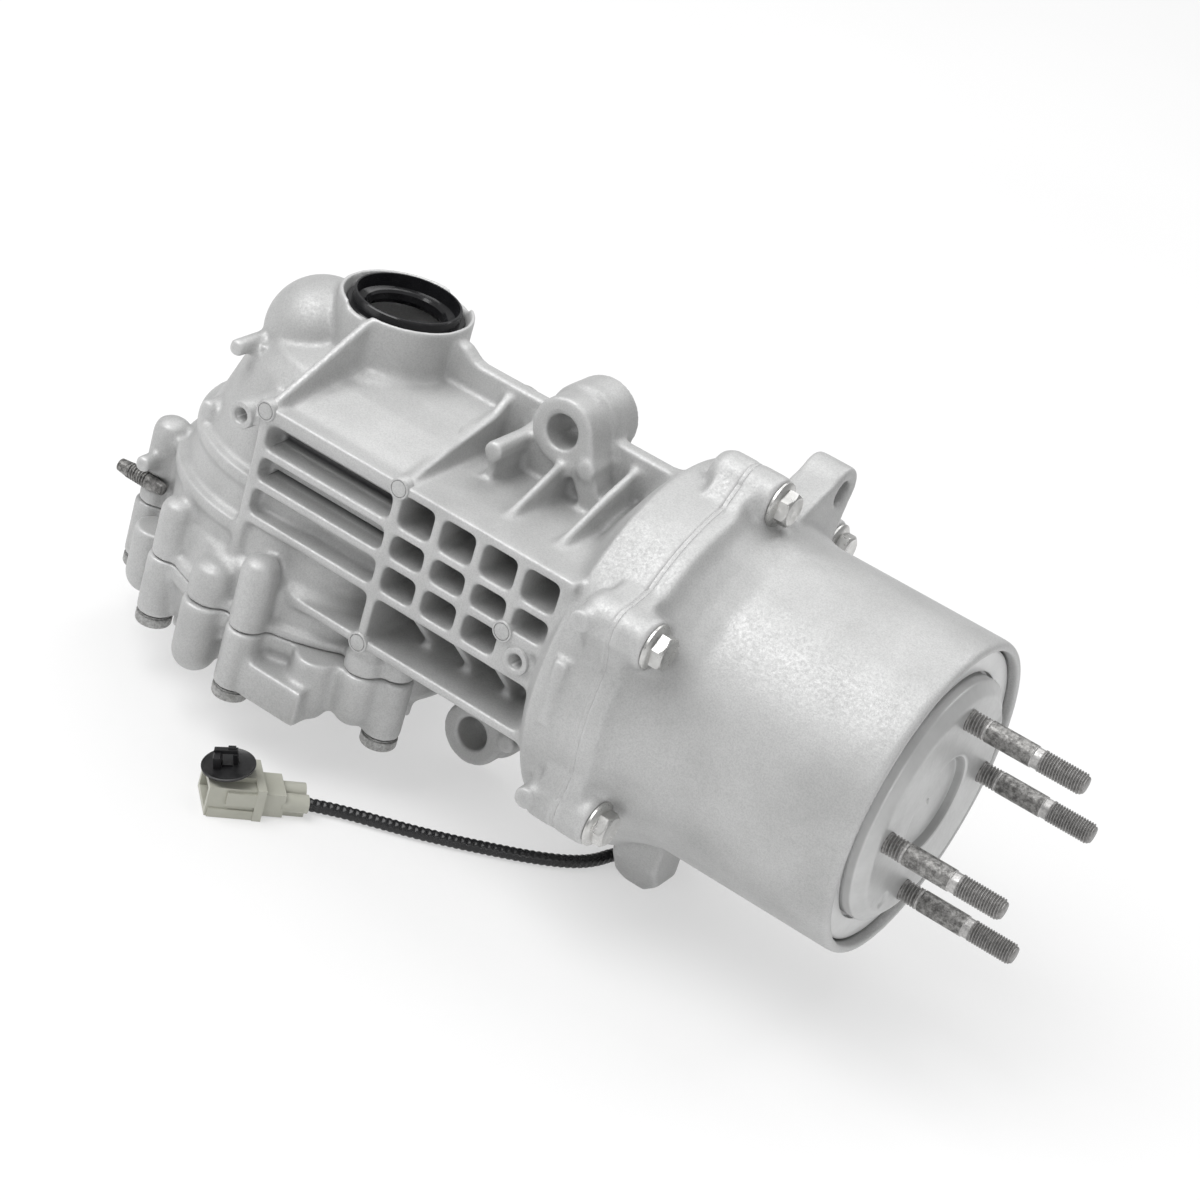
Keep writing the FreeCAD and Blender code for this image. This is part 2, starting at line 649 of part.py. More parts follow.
def rear_ribs():
    """Plainer ribs and the two plug bosses on the far side."""
    far_y = 60.0
    parts = [block((30, 158), (0, far_y), (z - 2.2, z + 2.2)) for z in (34.0, 8.0, -18.0)]
    parts += [block((x - 2.2, x + 2.2), (0, far_y), (-20, 36)) for x in (62.0, 90.0, 118.0, 146.0)]
    for x, z in plug_places:
        parts.append(cylinder("y", 15, 20, plug_face_y, x, z))
    return parts


plug_places = ((26.0, 22.0), (-18.0, -34.0))
plug_face_y = 84.0
plug_r = 9.0


def joint_lobe(angle, start, end):
    """Flanks that run a joint bolt's boss out into the flange's rim."""
    half = cover_boss_r - 1
    return turned(prism("yz", [
        (-2.2 * half, cover_flange_r - 6), (-half, cover_bolt_circle_r + 4.5),
        (half, cover_bolt_circle_r + 4.5), (2.2 * half, cover_flange_r - 6)], start, end), "x", angle)


def carrier_flange():
    start = cover_face_x - carrier_flange_length
    parts = [revolve("x", [
        (start - 22, 0), (start - 22, tube_r), (start - 4, cover_flange_r - 8), (start + 2, cover_flange_r),
        (cover_face_x, cover_flange_r), (cover_face_x, 0)])]
    for k in range(cover_bolt_count):
        y, z = on_circle(cover_bolt_circle_r, 360.0 * k / cover_bolt_count)
        parts.append(joint_lobe(360.0 * k / cover_bolt_count, cover_face_x - 11, cover_face_x))
        if k == foot_place:
            parts.append(cylinder("x", cover_boss_r, cover_face_x - carrier_boss_length, cover_face_x, y, z))
        else:
            boss = revolve("x", [
                (-carrier_boss_length, 0), (-carrier_boss_length, cover_boss_r - 6),
                (-carrier_boss_length + 2, cover_boss_r - 2), (-carrier_boss_length + 6, cover_boss_r),
                (0, cover_boss_r), (0, 0)])
            parts.append(moved(boss, cover_face_x, y, z))
    parts.append(block((start + 8, start + 14), (-cover_flange_r - 1.5, -70), (-9, 22)))
    pad_y, pad_z = on_circle(cover_bolt_circle_r, 60)
    parts.append(cylinder("y", 5, pad_y - cover_boss_r - 2, pad_y, cover_face_x - 14, pad_z))
    parts.append(cylinder("y", 5, pad_y - cover_boss_r - 2, pad_y, cover_face_x - 14, -pad_z))
    return parts


def breather_place():
    return V(-80.0, -44.0, -36.0)


def carrier_casting():
    solid = fused(
        [chamber_outer(), chamber_bulge(), cylinder("x", tube_r, 0, cover_face_x - 18)] + carrier_flange()
        + web_and_ears() + front_ribs() + panel_and_gussets() + pads_and_bosses() + rear_ribs())
    tools = [chamber_cavity(), pinion_bores(), tower_notches()]
    tools.append(cylinder("z", seam_r + 1, lower_rim_z, seam_z))
    for side in (1, -1):
        tools.append(cylinder("y", ear_bore_r, ear_near_y - 1, ear_far_y + 1, ear_x, side * ear_z))
    tools.append(cylinder("y", 3, rib_face_y - 2, rib_face_y + 14, panel_x[0] - 12, rib_levels[0] - 8))
    tools.append(cylinder("y", 3, rib_face_y - 2, rib_face_y + 14, upright_positions()[2] + 10, 3.5))
    for x, y, reach in side_columns:
        tools.append(cylinder("z", side_bolt_r, seam_z - 1, seam_z + min(reach, 16) - 2, x, y))
    for k in range(cover_bolt_count):
        y, z = on_circle(cover_bolt_circle_r, 360.0 * k / cover_bolt_count)
        bore_r = coupling_bolt_r + 0.3 if k == foot_place else coupling_bolt_r
        depth = carrier_boss_length + 1 if k == foot_place else 19
        tools.append(cylinder("x", bore_r, cover_face_x - depth, cover_face_x + 1, y, z))
        if k == foot_place:
            tools.append(cylinder("x", spot_face_r, cover_face_x - 50, cover_face_x - carrier_boss_length, y, z))
    for x, z in plug_places:
        tools.append(cylinder("y", plug_r, 40, plug_face_y + 1, x, z))
    place = breather_place()
    tools.append(cylinder("x", 4, place.x - 20, place.x + 8, place.y, place.z))
    return cut(solid, tools)


def tower_notches():
    """Cuts that leave the tower's rim standing as separate lugs round the seal."""
    rim = tube("z", tower_r + 2, seal_bore_r - 1, tower_top_z - rim_depth + 1, tower_top_z + 2)
    wedges = []
    for start, sweep in ((243, 30), (51, 35)):
        wedge = Part.makeCylinder(60, rim_depth + 4, V(0, 0, tower_top_z - rim_depth), V(0, 0, 1), sweep)
        wedges.append(turned(wedge, "z", start))
    return rim.common(Part.makeCompound(wedges))


# Side cover

def side_cover():
    outer = revolve("z", [
        (seam_z, 0), (seam_z, seam_r), (seam_z - 7, seam_r), (seam_z - 9, 81), (-72, 79),
        (cover_floor_z, 72), (cover_floor_z, 42), (cover_floor_z - 5, 40), (-90, tower_r + 1),
        (lower_rim_z, tower_r), (lower_rim_z, 0)])
    bearing_end = lower_seat_z - side_bearing["width"]
    seal_end = lower_rim_z + lower_seal_recess + seal_depth
    cavity = revolve("z", [
        (seam_z + 1, 0), (seam_z + 1, chamber_r), (-66, chamber_r), (-70, 66), (-70, 44),
        (lower_seat_z, 42), (lower_seat_z, side_bearing["r_out"]), (bearing_end, side_bearing["r_out"]),
        (bearing_end, 25), (seal_end, 25), (seal_end, seal_bore_r),
        (lower_rim_z - 1, seal_bore_r), (lower_rim_z - 1, 0)])
    parts = [outer]
    for k in range(10):
        rib = block((34, 73), (-2, 2), (-88, -74))
        parts.append(turned(rib, "z", 18 + 36.0 * k))
    parts += [spoke(x, y, 7.5, -74, seam_z) for x, y, _ in side_columns]
    parts += [cylinder("z", side_barrel_r, barrel_seat_z, seam_z, x, y) for x, y, _ in side_columns]
    for x, y, low in ((-66.0, -54.0, -72.0), (-12.0, -83.0, -74.0), (65.0, -65.0, -66.0), (46.0, -74.0, -70.0)):
        parts.append(cylinder("z", 10.5, low, seam_z, x, y))
        parts.append(Part.makeSphere(10.5, V(x, y, low)))
    parts.append(block((22, 52), (-91, -70), (-78, -60)))
    ribs_clear = cylinder("z", 45, lower_rim_z - 1, -90.5)
    solid = fused(parts).cut(ribs_clear.cut(cylinder("z", tower_r + 2, lower_rim_z - 2, -80)))
    tools = [cavity, block((-150, 150), (-150, 150), (seam_z, seam_z + 60))]
    tools += [cylinder("z", side_bolt_r + 0.3, barrel_seat_z - 1, seam_z + 1, x, y)
              for x, y, _ in side_columns]
    return cut(solid, tools)


barrel_seat_z = -78.0


def side_cover_bolts():
    return Part.makeCompound([
        flange_bolt(V(0, 0, 1), V(x, y, barrel_seat_z), side_bolt_r,
                    seam_z - barrel_seat_z + min(reach, 16) - 3, side_washer_r, 2, 12, 6.5)
        for x, y, reach in side_columns])


# Coupling cover

def coupling_cover():
    flange_end = cover_face_x + cover_flange_thick
    inner_r = cover_r - cover_wall
    outer = revolve("x", [
        (cover_face_x, 0), (cover_face_x, cover_flange_r), (flange_end, cover_flange_r),
        (flange_end + 5, cover_r + 7), (flange_end + 14, cover_r + 3), (flange_end + 25, cover_r),
        (cover_end_x - 3, cover_r), (cover_end_x - 0.8, cover_r - 0.8), (cover_end_x, cover_r - 2.4),
        (cover_end_x, 0)])
    hub_out = 44.0
    cavity = revolve("x", [
        (cover_face_x - 1, 0), (cover_face_x - 1, inner_r), (end_wall_x, inner_r), (end_wall_x, hub_out),
        (input_bearing_x, hub_out - 2), (input_bearing_x, input_bearing_r[1]),
        (input_bearing_x + input_bearing_width, input_bearing_r[1]),
        (input_bearing_x + input_bearing_width, input_bearing_r[1] - 2),
        (input_seal_x, input_bearing_r[1] - 2), (input_seal_x, input_bearing_r[1]),
        (end_wall_x + end_wall_thick + 8, input_bearing_r[1]), (end_wall_x + end_wall_thick + 8, hub_out),
        (end_wall_x + end_wall_thick, hub_out), (end_wall_x + end_wall_thick, inner_r),
        (cover_end_x + 1, inner_r), (cover_end_x + 1, 0)])
    parts = [outer]
    for k in range(cover_bolt_count):
        y, z = on_circle(cover_bolt_circle_r, 360.0 * k / cover_bolt_count)
        parts.append(joint_lobe(360.0 * k / cover_bolt_count, cover_face_x, flange_end))
        if k != foot_place:
            parts.append(cylinder("x", cover_boss_r, cover_face_x, cover_face_x + cover_boss_length, y, z))
    lug_y, lug_z = lug_place
    parts.append(cylinder("x", lug_r, lug_x[0], lug_x[1], lug_y, lug_z))
    parts.append(prism("yz", [
        (lug_y - 10, lug_z + 8), (lug_y - 46, lug_z - 6), (lug_y - 34, lug_z - 30),
        (lug_y + 6, lug_z - 34), (lug_y + 12, lug_z)], lug_x[0], lug_x[1]))
    foot = prism("xz", [
        (cover_face_x + 3, -74), (cover_face_x + 3, lower_rim_z + 4), (cover_face_x + 8, lower_rim_z),
        (cover_face_x + 19, lower_rim_z), (cover_face_x + 27, lower_rim_z + 9), (cover_face_x + 27, -72)],
        -24, 0)
    parts.append(foot.common(prism("yz", [
        (-24, -72), (-24, -90), (-12, lower_rim_z), (0, lower_rim_z), (0, -72)], 180, 220)))
    start, run = grommet_line()
    parts.append(Part.makeCylinder(grommet_r + 3, 27, start.sub(run * 19), run))
    tools = [cavity, cylinder("x", lug_hole_r, lug_x[0] - 1, lug_x[1] + 1, lug_y, lug_z)]
    for k in range(cover_bolt_count):
        y, z = on_circle(cover_bolt_circle_r, 360.0 * k / cover_bolt_count)
        if k == foot_place:
            tools.append(cylinder("x", coupling_bolt_r, cover_face_x - 1, cover_face_x + 16, y, z))
        else:
            tools.append(cylinder("x", coupling_bolt_r + 0.3, cover_face_x - 1, cover_face_x + 20, y, z))
            tools.append(cylinder("x", spot_face_r, cover_face_x + cover_boss_length, cover_face_x + 29, y, z))
    tools.append(Part.makeCylinder(grommet_r, 40, start.sub(run * 8), run))
    return cut(fused(parts), tools)


foot_place = 3               # this bolt of the circle is put in from the carrier's side
lug_place = (52.7, 80.6)
lug_x = (186.0, 205.0)
lug_r = 12.5
lug_hole_r = 6.0
input_bearing_x = 270.0
input_bearing_width = 14.0
input_bearing_r = (input_shaft_r, 36.0)
input_ball_r = 4.4
input_seal_x = 286.0


def grommet_line():
    """Where the cord leaves the cover, and which way it points there."""
    start = V(*cord_route[0])
    run = V(*cord_route[1]).sub(start)
    run.normalize()
    return start, run


def cord_bore():
    start, run = grommet_line()
    return Part.makeCylinder(cord_r, 20, start, run)


def harness_grommet():
    """Rubber grommet in its boss under the cover, beside the foot, with the cord's end in it."""
    start, run = grommet_line()
    sleeve = Part.makeCylinder(grommet_r, 16, start.sub(run * 8), run)
    nose = Part.makeCone(grommet_r + 1.5, cord_r + 1.4, 6, start.add(run * 8), run)
    return sleeve.fuse(nose)


def coupling_cover_bolts():
    bolts = []
    for k in range(cover_bolt_count):
        y, z = on_circle(cover_bolt_circle_r, 360.0 * k / cover_bolt_count)
        if k == foot_place:
            seat = V(cover_face_x - carrier_boss_length, y, z)
            direction = V(1, 0, 0)
        else:
            seat = V(cover_face_x + cover_boss_length, y, z)
            direction = V(-1, 0, 0)
        bolts.append(flange_bolt(direction, seat, coupling_bolt_r, 33, 10.5, 2.2, 14, 8))
    return Part.makeCompound(bolts)


# Seals, plugs and bearings that stay still

def output_seal():
    """Lip seal along +Z; its narrower outer lip stands a little above the rim at 0."""
    lip_r = seal_bore_r - 2.2
    return revolve("z", [
        (-seal_depth, seal_bore_r), (-rim_depth - 0.5, seal_bore_r), (-rim_depth, seal_bore_r - 0.5),
        (-rim_depth, lip_r), (0.6, lip_r), (1.0, lip_r - 0.5), (1.0, lip_r - 1.3),
        (-5, lip_r - 1.9), (-6.5, 19.8), (-4.8, 18.8), (-6, 18), (-9, 17.8), (-11, 18.6),
        (-11, 24), (-seal_depth, 24)])


def pinion_seal():
    width = pinion_seal_width
    ring = revolve("x", [
        (0, tail_bearing["r_out"]), (width, tail_bearing["r_out"]), (width, shaft_r + 3),
        (width - 2, shaft_r + 0.3), (2, shaft_r + 0.3), (3, shaft_r + 4), (1, tail_bearing["r_out"] - 3)])
    return moved(ring, x=pinion_seal_x)


def threaded_plug(x, z):
    """Hexagon-headed plug on the far side, with its sealing washer's width under the head."""
    seat = V(x, plug_face_y, z)
    return flange_bolt(V(0, -1, 0), seat, plug_r, 12, 13.5, 2.5, 19, 7)


def breather_fitting():
    place = breather_place()
    return revolve("x", [
        (place.x - 21, 0), (place.x - 21, 2.4), (place.x - 20, 3.4), (place.x - 15, 3.6), (place.x - 14, 4),
        (place.x - 1, 4), (place.x + 6, 4), (place.x + 6, 0)]), place


def ball_track():
    """Ring that the input bearing's balls run in."""
    middle = V(input_bearing_x + input_bearing_width / 2, 0, 0)
    return Part.makeTorus(sum(input_bearing_r) / 2, input_ball_r + run_clearance, middle, AXES["x"])


def housing_small_parts():
    fitting, place = breather_fitting()
    seal = output_seal()
    inner, outer = input_bearing_r
    race_out = tube("x", outer, outer - 4.5, input_bearing_x, input_bearing_x + input_bearing_width)
    race_out = race_out.cut(ball_track())
    input_seal = revolve("x", [
        (input_seal_x, outer), (input_seal_x + 9, outer), (input_seal_x + 9, inner + 3),
        (input_seal_x + 6, inner + 0.3), (input_seal_x + 3, inner + 0.3), (input_seal_x + 3, outer - 3),
        (input_seal_x, outer - 3)])
    coil_in, coil_out = coil_r
    start = cover_face_x + 6
    bobbin = tube("x", coil_out - 5, coil_in + 4, start + 5, start + 13)
    yoke = tube("x", coil_out, coil_in, start, start + 14).cut(bobbin).cut(
        tube("x", coil_out - 5, coil_in + 4, start + 12, start + 15))
    seat = revolve("x", [
        (cover_face_x - 13, 40), (cover_face_x - 13, 46), (start, 46), (start, 40)])
    return {
        "upper_output_seal": moved(seal, z=tower_top_z),
        "lower_output_seal": moved(turned(seal, "x", 180), z=lower_rim_z + lower_seal_recess),
        "pinion_seal": pinion_seal(),
        "fill_plug": threaded_plug(*plug_places[0]),
        "drain_plug": threaded_plug(*plug_places[1]),
        "breather_fitting": moved(fitting, y=place.y, z=place.z),
        "input_bearing_outer_race": race_out,
        "input_seal": input_seal,
        "coil_yoke": fused([yoke, seat]),
        "magnet_coil": bobbin,
        "harness_grommet": harness_grommet().cut(cord_bore())}


# Pieces on the pinion shaft

def pinion_pieces():
    pieces = {"drive_pinion": drive_pinion()}
    tail_end = tail_bearing["start"] + tail_bearing["width"]
    head_end = head_bearing["start"] + head_bearing["width"]
    corner = 36 / math.sqrt(3)
    points = [(corner * math.sin(math.radians(60 * k)), corner * math.cos(math.radians(60 * k)))
              for k in range(6)]
    nut = prism("yz", points, tail_end, tail_end + 10)
    pieces["pinion_nut"] = nut.cut(cylinder("x", tail_bearing["r_in"], 0, 300))
    pieces["crush_spacer"] = revolve("x", [
        (head_end, 16.4), (head_end, 20), (head_end + 12, 20), ((head_end + tail_bearing["start"]) / 2, 22.5),
        (tail_bearing["start"] - 8, 20), (tail_bearing["start"], 20), (tail_bearing["start"], 16.4)])
    hub_start = plates_start_x - 6
    pieces["clutch_hub"] = tube("x", hub_r, shaft_r, hub_start, shaft_end_x)
    inner = []
    outer = []
    pitch = plate_thick + plate_gap
    for k in range(plate_pairs):
        x = plates_start_x + 2 * pitch * k
        inner.append(tube("x", drum_r - drum_wall - 2, hub_r, x, x + plate_thick))
        outer.append(tube("x", drum_r - drum_wall, hub_r + 2, x + pitch, x + pitch + plate_thick))
    pieces["inner_clutch_plates"] = Part.makeCompound(inner)
    pieces["outer_clutch_plates"] = Part.makeCompound(outer)
    pieces["main_cam"] = tube("x", hub_r - 3, shaft_r, cam_ball_x + cam_ball_r + 0.4, hub_start)
    return pieces


# Pieces that turn with the input flange

def input_flange():
    back = flange_face_x - flange_thick
    x0, x1 = drum_x
    body = revolve("x", [
        (x1 - 6, 0), (x1 - 6, drum_r - drum_wall), (x1, drum_r - drum_wall), (x1, input_shaft_r + 6),
        (input_bearing_x, input_shaft_r + 6), (input_bearing_x, input_shaft_r), (back - 1.5, input_shaft_r),
        (back - 1.5, input_shaft_r + 8), (back, input_shaft_r + 8), (back, flange_r),
        (flange_face_x - 1, flange_r), (flange_face_x, flange_r - 1), (flange_face_x, 0)])
    dish = revolve("x", [
        (flange_face_x + 1, 0), (flange_face_x + 1, flange_dish_r + 1),
        (flange_face_x - flange_dish_depth, flange_dish_r), (flange_face_x - flange_dish_depth, 0)])
    tools = [dish]
    for k in range(stud_count):
        y, z = on_circle(stud_circle_d / 2, 360.0 * k / stud_count)
        tools.append(cylinder("x", stud_neck_r, back - 0.5, flange_face_x + 1, y, z))
    return cut(body, tools)


def input_studs():
    studs = []
    end = flange_face_x + stud_length
    for k in range(stud_count):
        y, z = on_circle(stud_circle_d / 2, 360.0 * k / stud_count)
        stud = revolve("x", [
            (flange_face_x - flange_thick, 0), (flange_face_x - flange_thick, stud_neck_r),
            (flange_face_x, stud_neck_r), (flange_face_x, stud_r), (end - 1.5, stud_r),
            (end, stud_r - 1.4), (end, 0)])
        studs.append(moved(stud, y=y, z=z))
    return Part.makeCompound(studs)


def input_pieces():
    x0, x1 = drum_x
    inner, outer = input_bearing_r
    drum = tube("x", drum_r, drum_r - drum_wall, x0, x1)
    rear = tube("x", drum_r - drum_wall, 30, x0, x0 + 6)
    armature = tube("x", 56, 34, x0 + 9, x0 + 13)
    pilot = tube("x", 29.5, shaft_r + 0.6, x0 - 6, cam_ball_x - cam_ball_r)
    ring = [Part.makeSphere(cam_ball_r, V(cam_ball_x, *on_circle(22, 60 * k))) for k in range(6)]
    back = flange_face_x - flange_thick
    deflector = tube("x", cover_r - cover_wall - 0.9, input_shaft_r + 8, back - 1.5, back)
    mid = input_bearing_x + input_bearing_width / 2
    balls = [Part.makeSphere(input_ball_r, V(mid, *on_circle((inner + outer) / 2, 36 * k)))
             for k in range(10)]
    race = tube("x", inner + 4.5, inner, input_bearing_x, input_bearing_x + input_bearing_width)
    race = race.cut(ball_track())
    return {
        "input_flange": input_flange(),
        "input_studs": input_studs(),
        "coupling_drum": drum,
        "drum_rear_cover": rear,
        "armature_plate": armature,
        "pilot_cam": pilot,
        "cam_balls": Part.makeCompound(ring),
        "dust_deflector": deflector,
        "input_bearing_inner_race": Part.makeCompound([race] + balls)}


# Harness

def cord_tube():
    """Straight runs joined by tangent arcs, each as large as its two runs allow."""
    points = [V(*p) for p in cord_route]
    edges = []
    start = points[0]
    for before, corner, after in zip(points[:-2], points[1:-1], points[2:]):
        run_in = corner.sub(before)
        run_out = after.sub(corner)
        half_turn = run_in.getAngle(run_out) / 2
        radius = 0.45 * min(run_in.Length, run_out.Length) / math.tan(half_turn)
        print("cord arc radius %.1f, turn %.1f degrees" % (radius, math.degrees(2 * half_turn)))
        setback = radius * math.tan(half_turn)
        run_in.normalize()
        run_out.normalize()
        enter = corner.sub(run_in * setback)
        leave = corner.add(run_out * setback)
        inward = run_out.sub(run_in)
        inward.normalize()
        middle = corner.add(inward * (radius / math.cos(half_turn) - radius))
        edges.append(Part.LineSegment(start, enter).toShape())
        edges.append(Part.Arc(enter, middle, leave).toShape())
        start = leave
    edges.append(Part.LineSegment(start, points[-1]).toShape())
    path = Part.Wire(edges)
    direction = points[1].sub(points[0])
    section = Part.Wire(Part.makeCircle(cord_r, points[0], direction))
    tube_solid = path.makePipeShell([section], True, False)
    print("cord length %.1f, volume over section times length %.4f" % (
        path.Length, tube_solid.Volume / (math.pi * cord_r ** 2 * path.Length)))
    return tube_solid


def connector_pieces():
    """Two-pin connector beyond the cord's end, built along +X and then laid on the floor."""
    floor = lower_rim_z
    centre_z = cord_route[-1][2]
    ports = [cylinder("x", 4.2, 0, 12, side * 4.6, centre_z + 3) for side in (1, -1)]
    foot = block((1, 12), (-6, 6), (floor, centre_z + 3))
    neck = block((11, 23), (-8.5, 8.5), (floor + 0.5, floor + 12))
    collar = block((21, 25), (-11.8, 12.4), (floor, floor + 16))
    body = block((22, 46), (-11, 11), (floor, floor + 15))
    panel = block((25, 38), (10, 12.3), (floor + 7, floor + 13.5))
    rail = block((24, 45), (10, 11.8), (floor, floor + 4.5))
    latch = block((25, 44), (-5, 5), (floor + 14, floor + 17.5))
    socket = block((35, 47), (-8.5, 8.5), (floor + 2.5, floor + 12.5))
    shell = fused(ports + [foot, neck, collar, body, panel, rail, latch]).cut(socket)
    clip_top = floor + 19.3
    disc = cylinder("z", 12, floor + 17.5, clip_top, 37.5, 0)
    fin = block((30, 46), (-1.3, 1.3), (clip_top, clip_top + 3.2))
    cross = block((41, 45), (-6, 6), (clip_top, clip_top + 2.4))
    tab = block((39, 46), (-2.6, 2.6), (clip_top, clip_top + 5))
    clip = fused([disc, fin, cross, tab])
    end = V(*cord_route[-1])
    pieces = {"connector_body": shell, "connector_clip": clip}
    for shape in pieces.values():
        shape.rotate(ORIGIN, AXES["z"], connector_yaw)
        shape.translate(V(end.x, end.y, 0))
    return pieces


def all_pieces():
    pieces = {
        "carrier_casting": carrier_casting(),
        "side_cover": side_cover(),
        "side_cover_bolts": side_cover_bolts(),
        "coupling_cover": coupling_cover(),
        "coupling_cover_bolts": coupling_cover_bolts(),
        "harness_cord": cord_tube()}
    for group in (housing_small_parts(), shaft_bearings(), side_bearings(), differential(),
                  pinion_pieces(), input_pieces(), connector_pieces()):
        pieces.update(group)
    return pieces


def main():
    os.makedirs("parts", exist_ok=True)
    for name, shape in all_pieces().items():
        shape.translate(V(-flange_face_x, 0, 0))
        shape.exportStep("parts/%s.step" % name)
        print("%-28s solids %2d valid %s volume %9.0f" % (
            name, len(shape.Solids), shape.isValid(), shape.Volume))


main()
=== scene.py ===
import bmesh
import bpy
import json
import math
from mathutils import Matrix, Vector


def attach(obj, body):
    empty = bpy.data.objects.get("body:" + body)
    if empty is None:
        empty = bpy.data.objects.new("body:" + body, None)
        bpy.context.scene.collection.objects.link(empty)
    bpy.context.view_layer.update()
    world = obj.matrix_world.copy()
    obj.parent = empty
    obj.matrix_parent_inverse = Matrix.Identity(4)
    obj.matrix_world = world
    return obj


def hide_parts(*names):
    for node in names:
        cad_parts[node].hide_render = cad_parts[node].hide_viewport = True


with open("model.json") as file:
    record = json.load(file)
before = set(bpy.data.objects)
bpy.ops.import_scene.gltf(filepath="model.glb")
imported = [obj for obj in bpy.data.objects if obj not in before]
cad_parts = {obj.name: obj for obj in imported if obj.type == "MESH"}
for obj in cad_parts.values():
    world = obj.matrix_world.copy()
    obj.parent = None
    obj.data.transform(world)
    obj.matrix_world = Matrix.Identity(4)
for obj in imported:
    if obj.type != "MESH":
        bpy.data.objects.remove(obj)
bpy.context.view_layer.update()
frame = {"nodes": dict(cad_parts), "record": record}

MM = 0.001

# Places and sizes in mm from the gear centre: X to the input flange, Y away from the viewer, Z to the tower

FLANGE_X = 311.0               # input flange's face
FLOOR_Z = -108.0
COVER_FACE_X = 184.0           # joint between carrier and coupling cover
SEAM_Z = -48.0                 # joint between carrier and side cover
STUD_CIRCLE_R = 44.0
STUD_FOOT = 11.0               # buried length of a stud
JOINT_CIRCLE_R = 89.0
JOINT_SEAT = 15.5              # seat of the joint bolts in front of the joint
JOINT_BACK_SEAT = 18.0         # seat of the turned bolt behind the joint
JOINT_BOLT = (5.0, 33.0, (10.5, 2.2), 14.0, 8.0)    # shank radius, grip, washer, width across flats, head
BARREL_SEAT_Z = -78.0          # seat of the side cover's bolts
SIDE_COLUMNS = (               # side cover's bolts: x, y and the reach of the column above the seam
    (-84.0, -36.0, 44.0), (-47.0, -69.0, 30.0), (13.0, -85.0, 36.0), (77.0, -57.0, 16.0),
    (-84.0, 34.0, 30.0), (-46.0, 78.0, 26.0), (12.0, 90.0, 26.0), (66.0, 66.0, 16.0))
PLUG_SEAT_Y = 84.0
PLUG_BOLT = (9.0, 12.0, (13.5, 2.5), 19.0, 7.0)     # as for the joint bolt
PLUGS = (("fill_plug", 26.0, 22.0, 12), ("drain_plug", -18.0, -34.0, 40))    # x, z and turn in degrees

RIB_FACE_Y = -76.0
RIB_PADS = ((-9.0, 48.0), (-9.0, -30.0), (65.0, 48.0), (65.0, -30.0), (131.0, 13.0))    # x, z
RIB_BOSSES = ((-21.0, 40.0), (141.0, 3.5))                                             # x, z
BOSS_BORE_R = 3.3
RING_AXIS = (-12.0, -1.0)                                                              # x, y
RING_LEVELS = ((3.0, 65.8), (-17.0, 71.6))     # height and wall radius of the two stepped rings
PANEL_GROOVES = ((31.2, 35.8), (40.6, 45.0), (15.8, 18.5), (23.0, 25.8))    # lower and upper edges, in z

CLIP_CENTRE = (45.9, -122.9, -88.6)
BREATHER_END = (-101.0, -44.0, -36.0)
CORD_R = 3.1
CORD_Z = -104.9
CORD_ROUTE = (
    (209.0, 32.0, -79.0), (204.5, 26.0, -97.0), (192.0, 17.0, CORD_Z), (181.5, 0.0, CORD_Z),
    (177.0, -20.0, CORD_Z), (163.0, -36.0, CORD_Z), (139.0, -54.0, CORD_Z), (118.0, -68.0, CORD_Z),
    (98.0, -79.0, CORD_Z), (83.0, -87.0, CORD_Z), (71.5, -95.5, CORD_Z))

# Camera and light

CAMERA_PLACE = (629.84, -1050.36, 634.64)
CAMERA_RIGHT = (0.8013, 0.5368, 0.2641)
CAMERA_UP = (-0.4659, 0.2830, 0.8384)
CAMERA_LENS = 90
CAMERA_SENSOR = 36
WORLD_STRENGTH = 0.42
LIGHT_AIM = (-0.17, 0.0, 0.0)
LIGHTS = (                     # name, place in m, size in m, power in W
    ("key", (-1.3, -1.1, 2.5), 2.3, 66.0),
    ("top", (-0.2, 1.6, 2.6), 2.2, 32.0),
    ("side", (1.3, -1.3, 0.7), 0.8, 4.0))
FLOOR_SIZE = 6.0               # half its side, in m
FLOOR_GAP = 0.0002             # keeps the floor just under the part, in m

# Skins of the castings: node, voxel and fillet in mm, relaxing steps, most triangles

CARRIER_SKIN = ("carrier_casting", 1.0, 1.5, 4, 194000)
COVER_SKINS = (("side_cover", 1.1, 1.5, 4, 180000), ("coupling_cover", 1.2, 2.2, 4, 195000))


def at(x, y, z):
    """Point given in mm from the gear centre, in the row's frame."""
    return Vector(((x - FLANGE_X) * MM, y * MM, z * MM))


def add_camera():
    """Camera at the photograph's viewing angle."""
    camera = bpy.data.cameras.new("camera")
    camera.lens = CAMERA_LENS
    camera.sensor_width = CAMERA_SENSOR
    camera.clip_end = 20
    obj = bpy.data.objects.new("camera", camera)
    bpy.context.scene.collection.objects.link(obj)
    right = Vector(CAMERA_RIGHT).normalized()
    up = Vector(CAMERA_UP).normalized()
    back = right.cross(up).normalized()
    place = at(*CAMERA_PLACE)
    rows = [[right[i], up[i], back[i], place[i]] for i in range(3)]
    obj.matrix_world = Matrix(rows + [[0, 0, 0, 1]])
    bpy.context.scene.camera = obj


# Node helpers

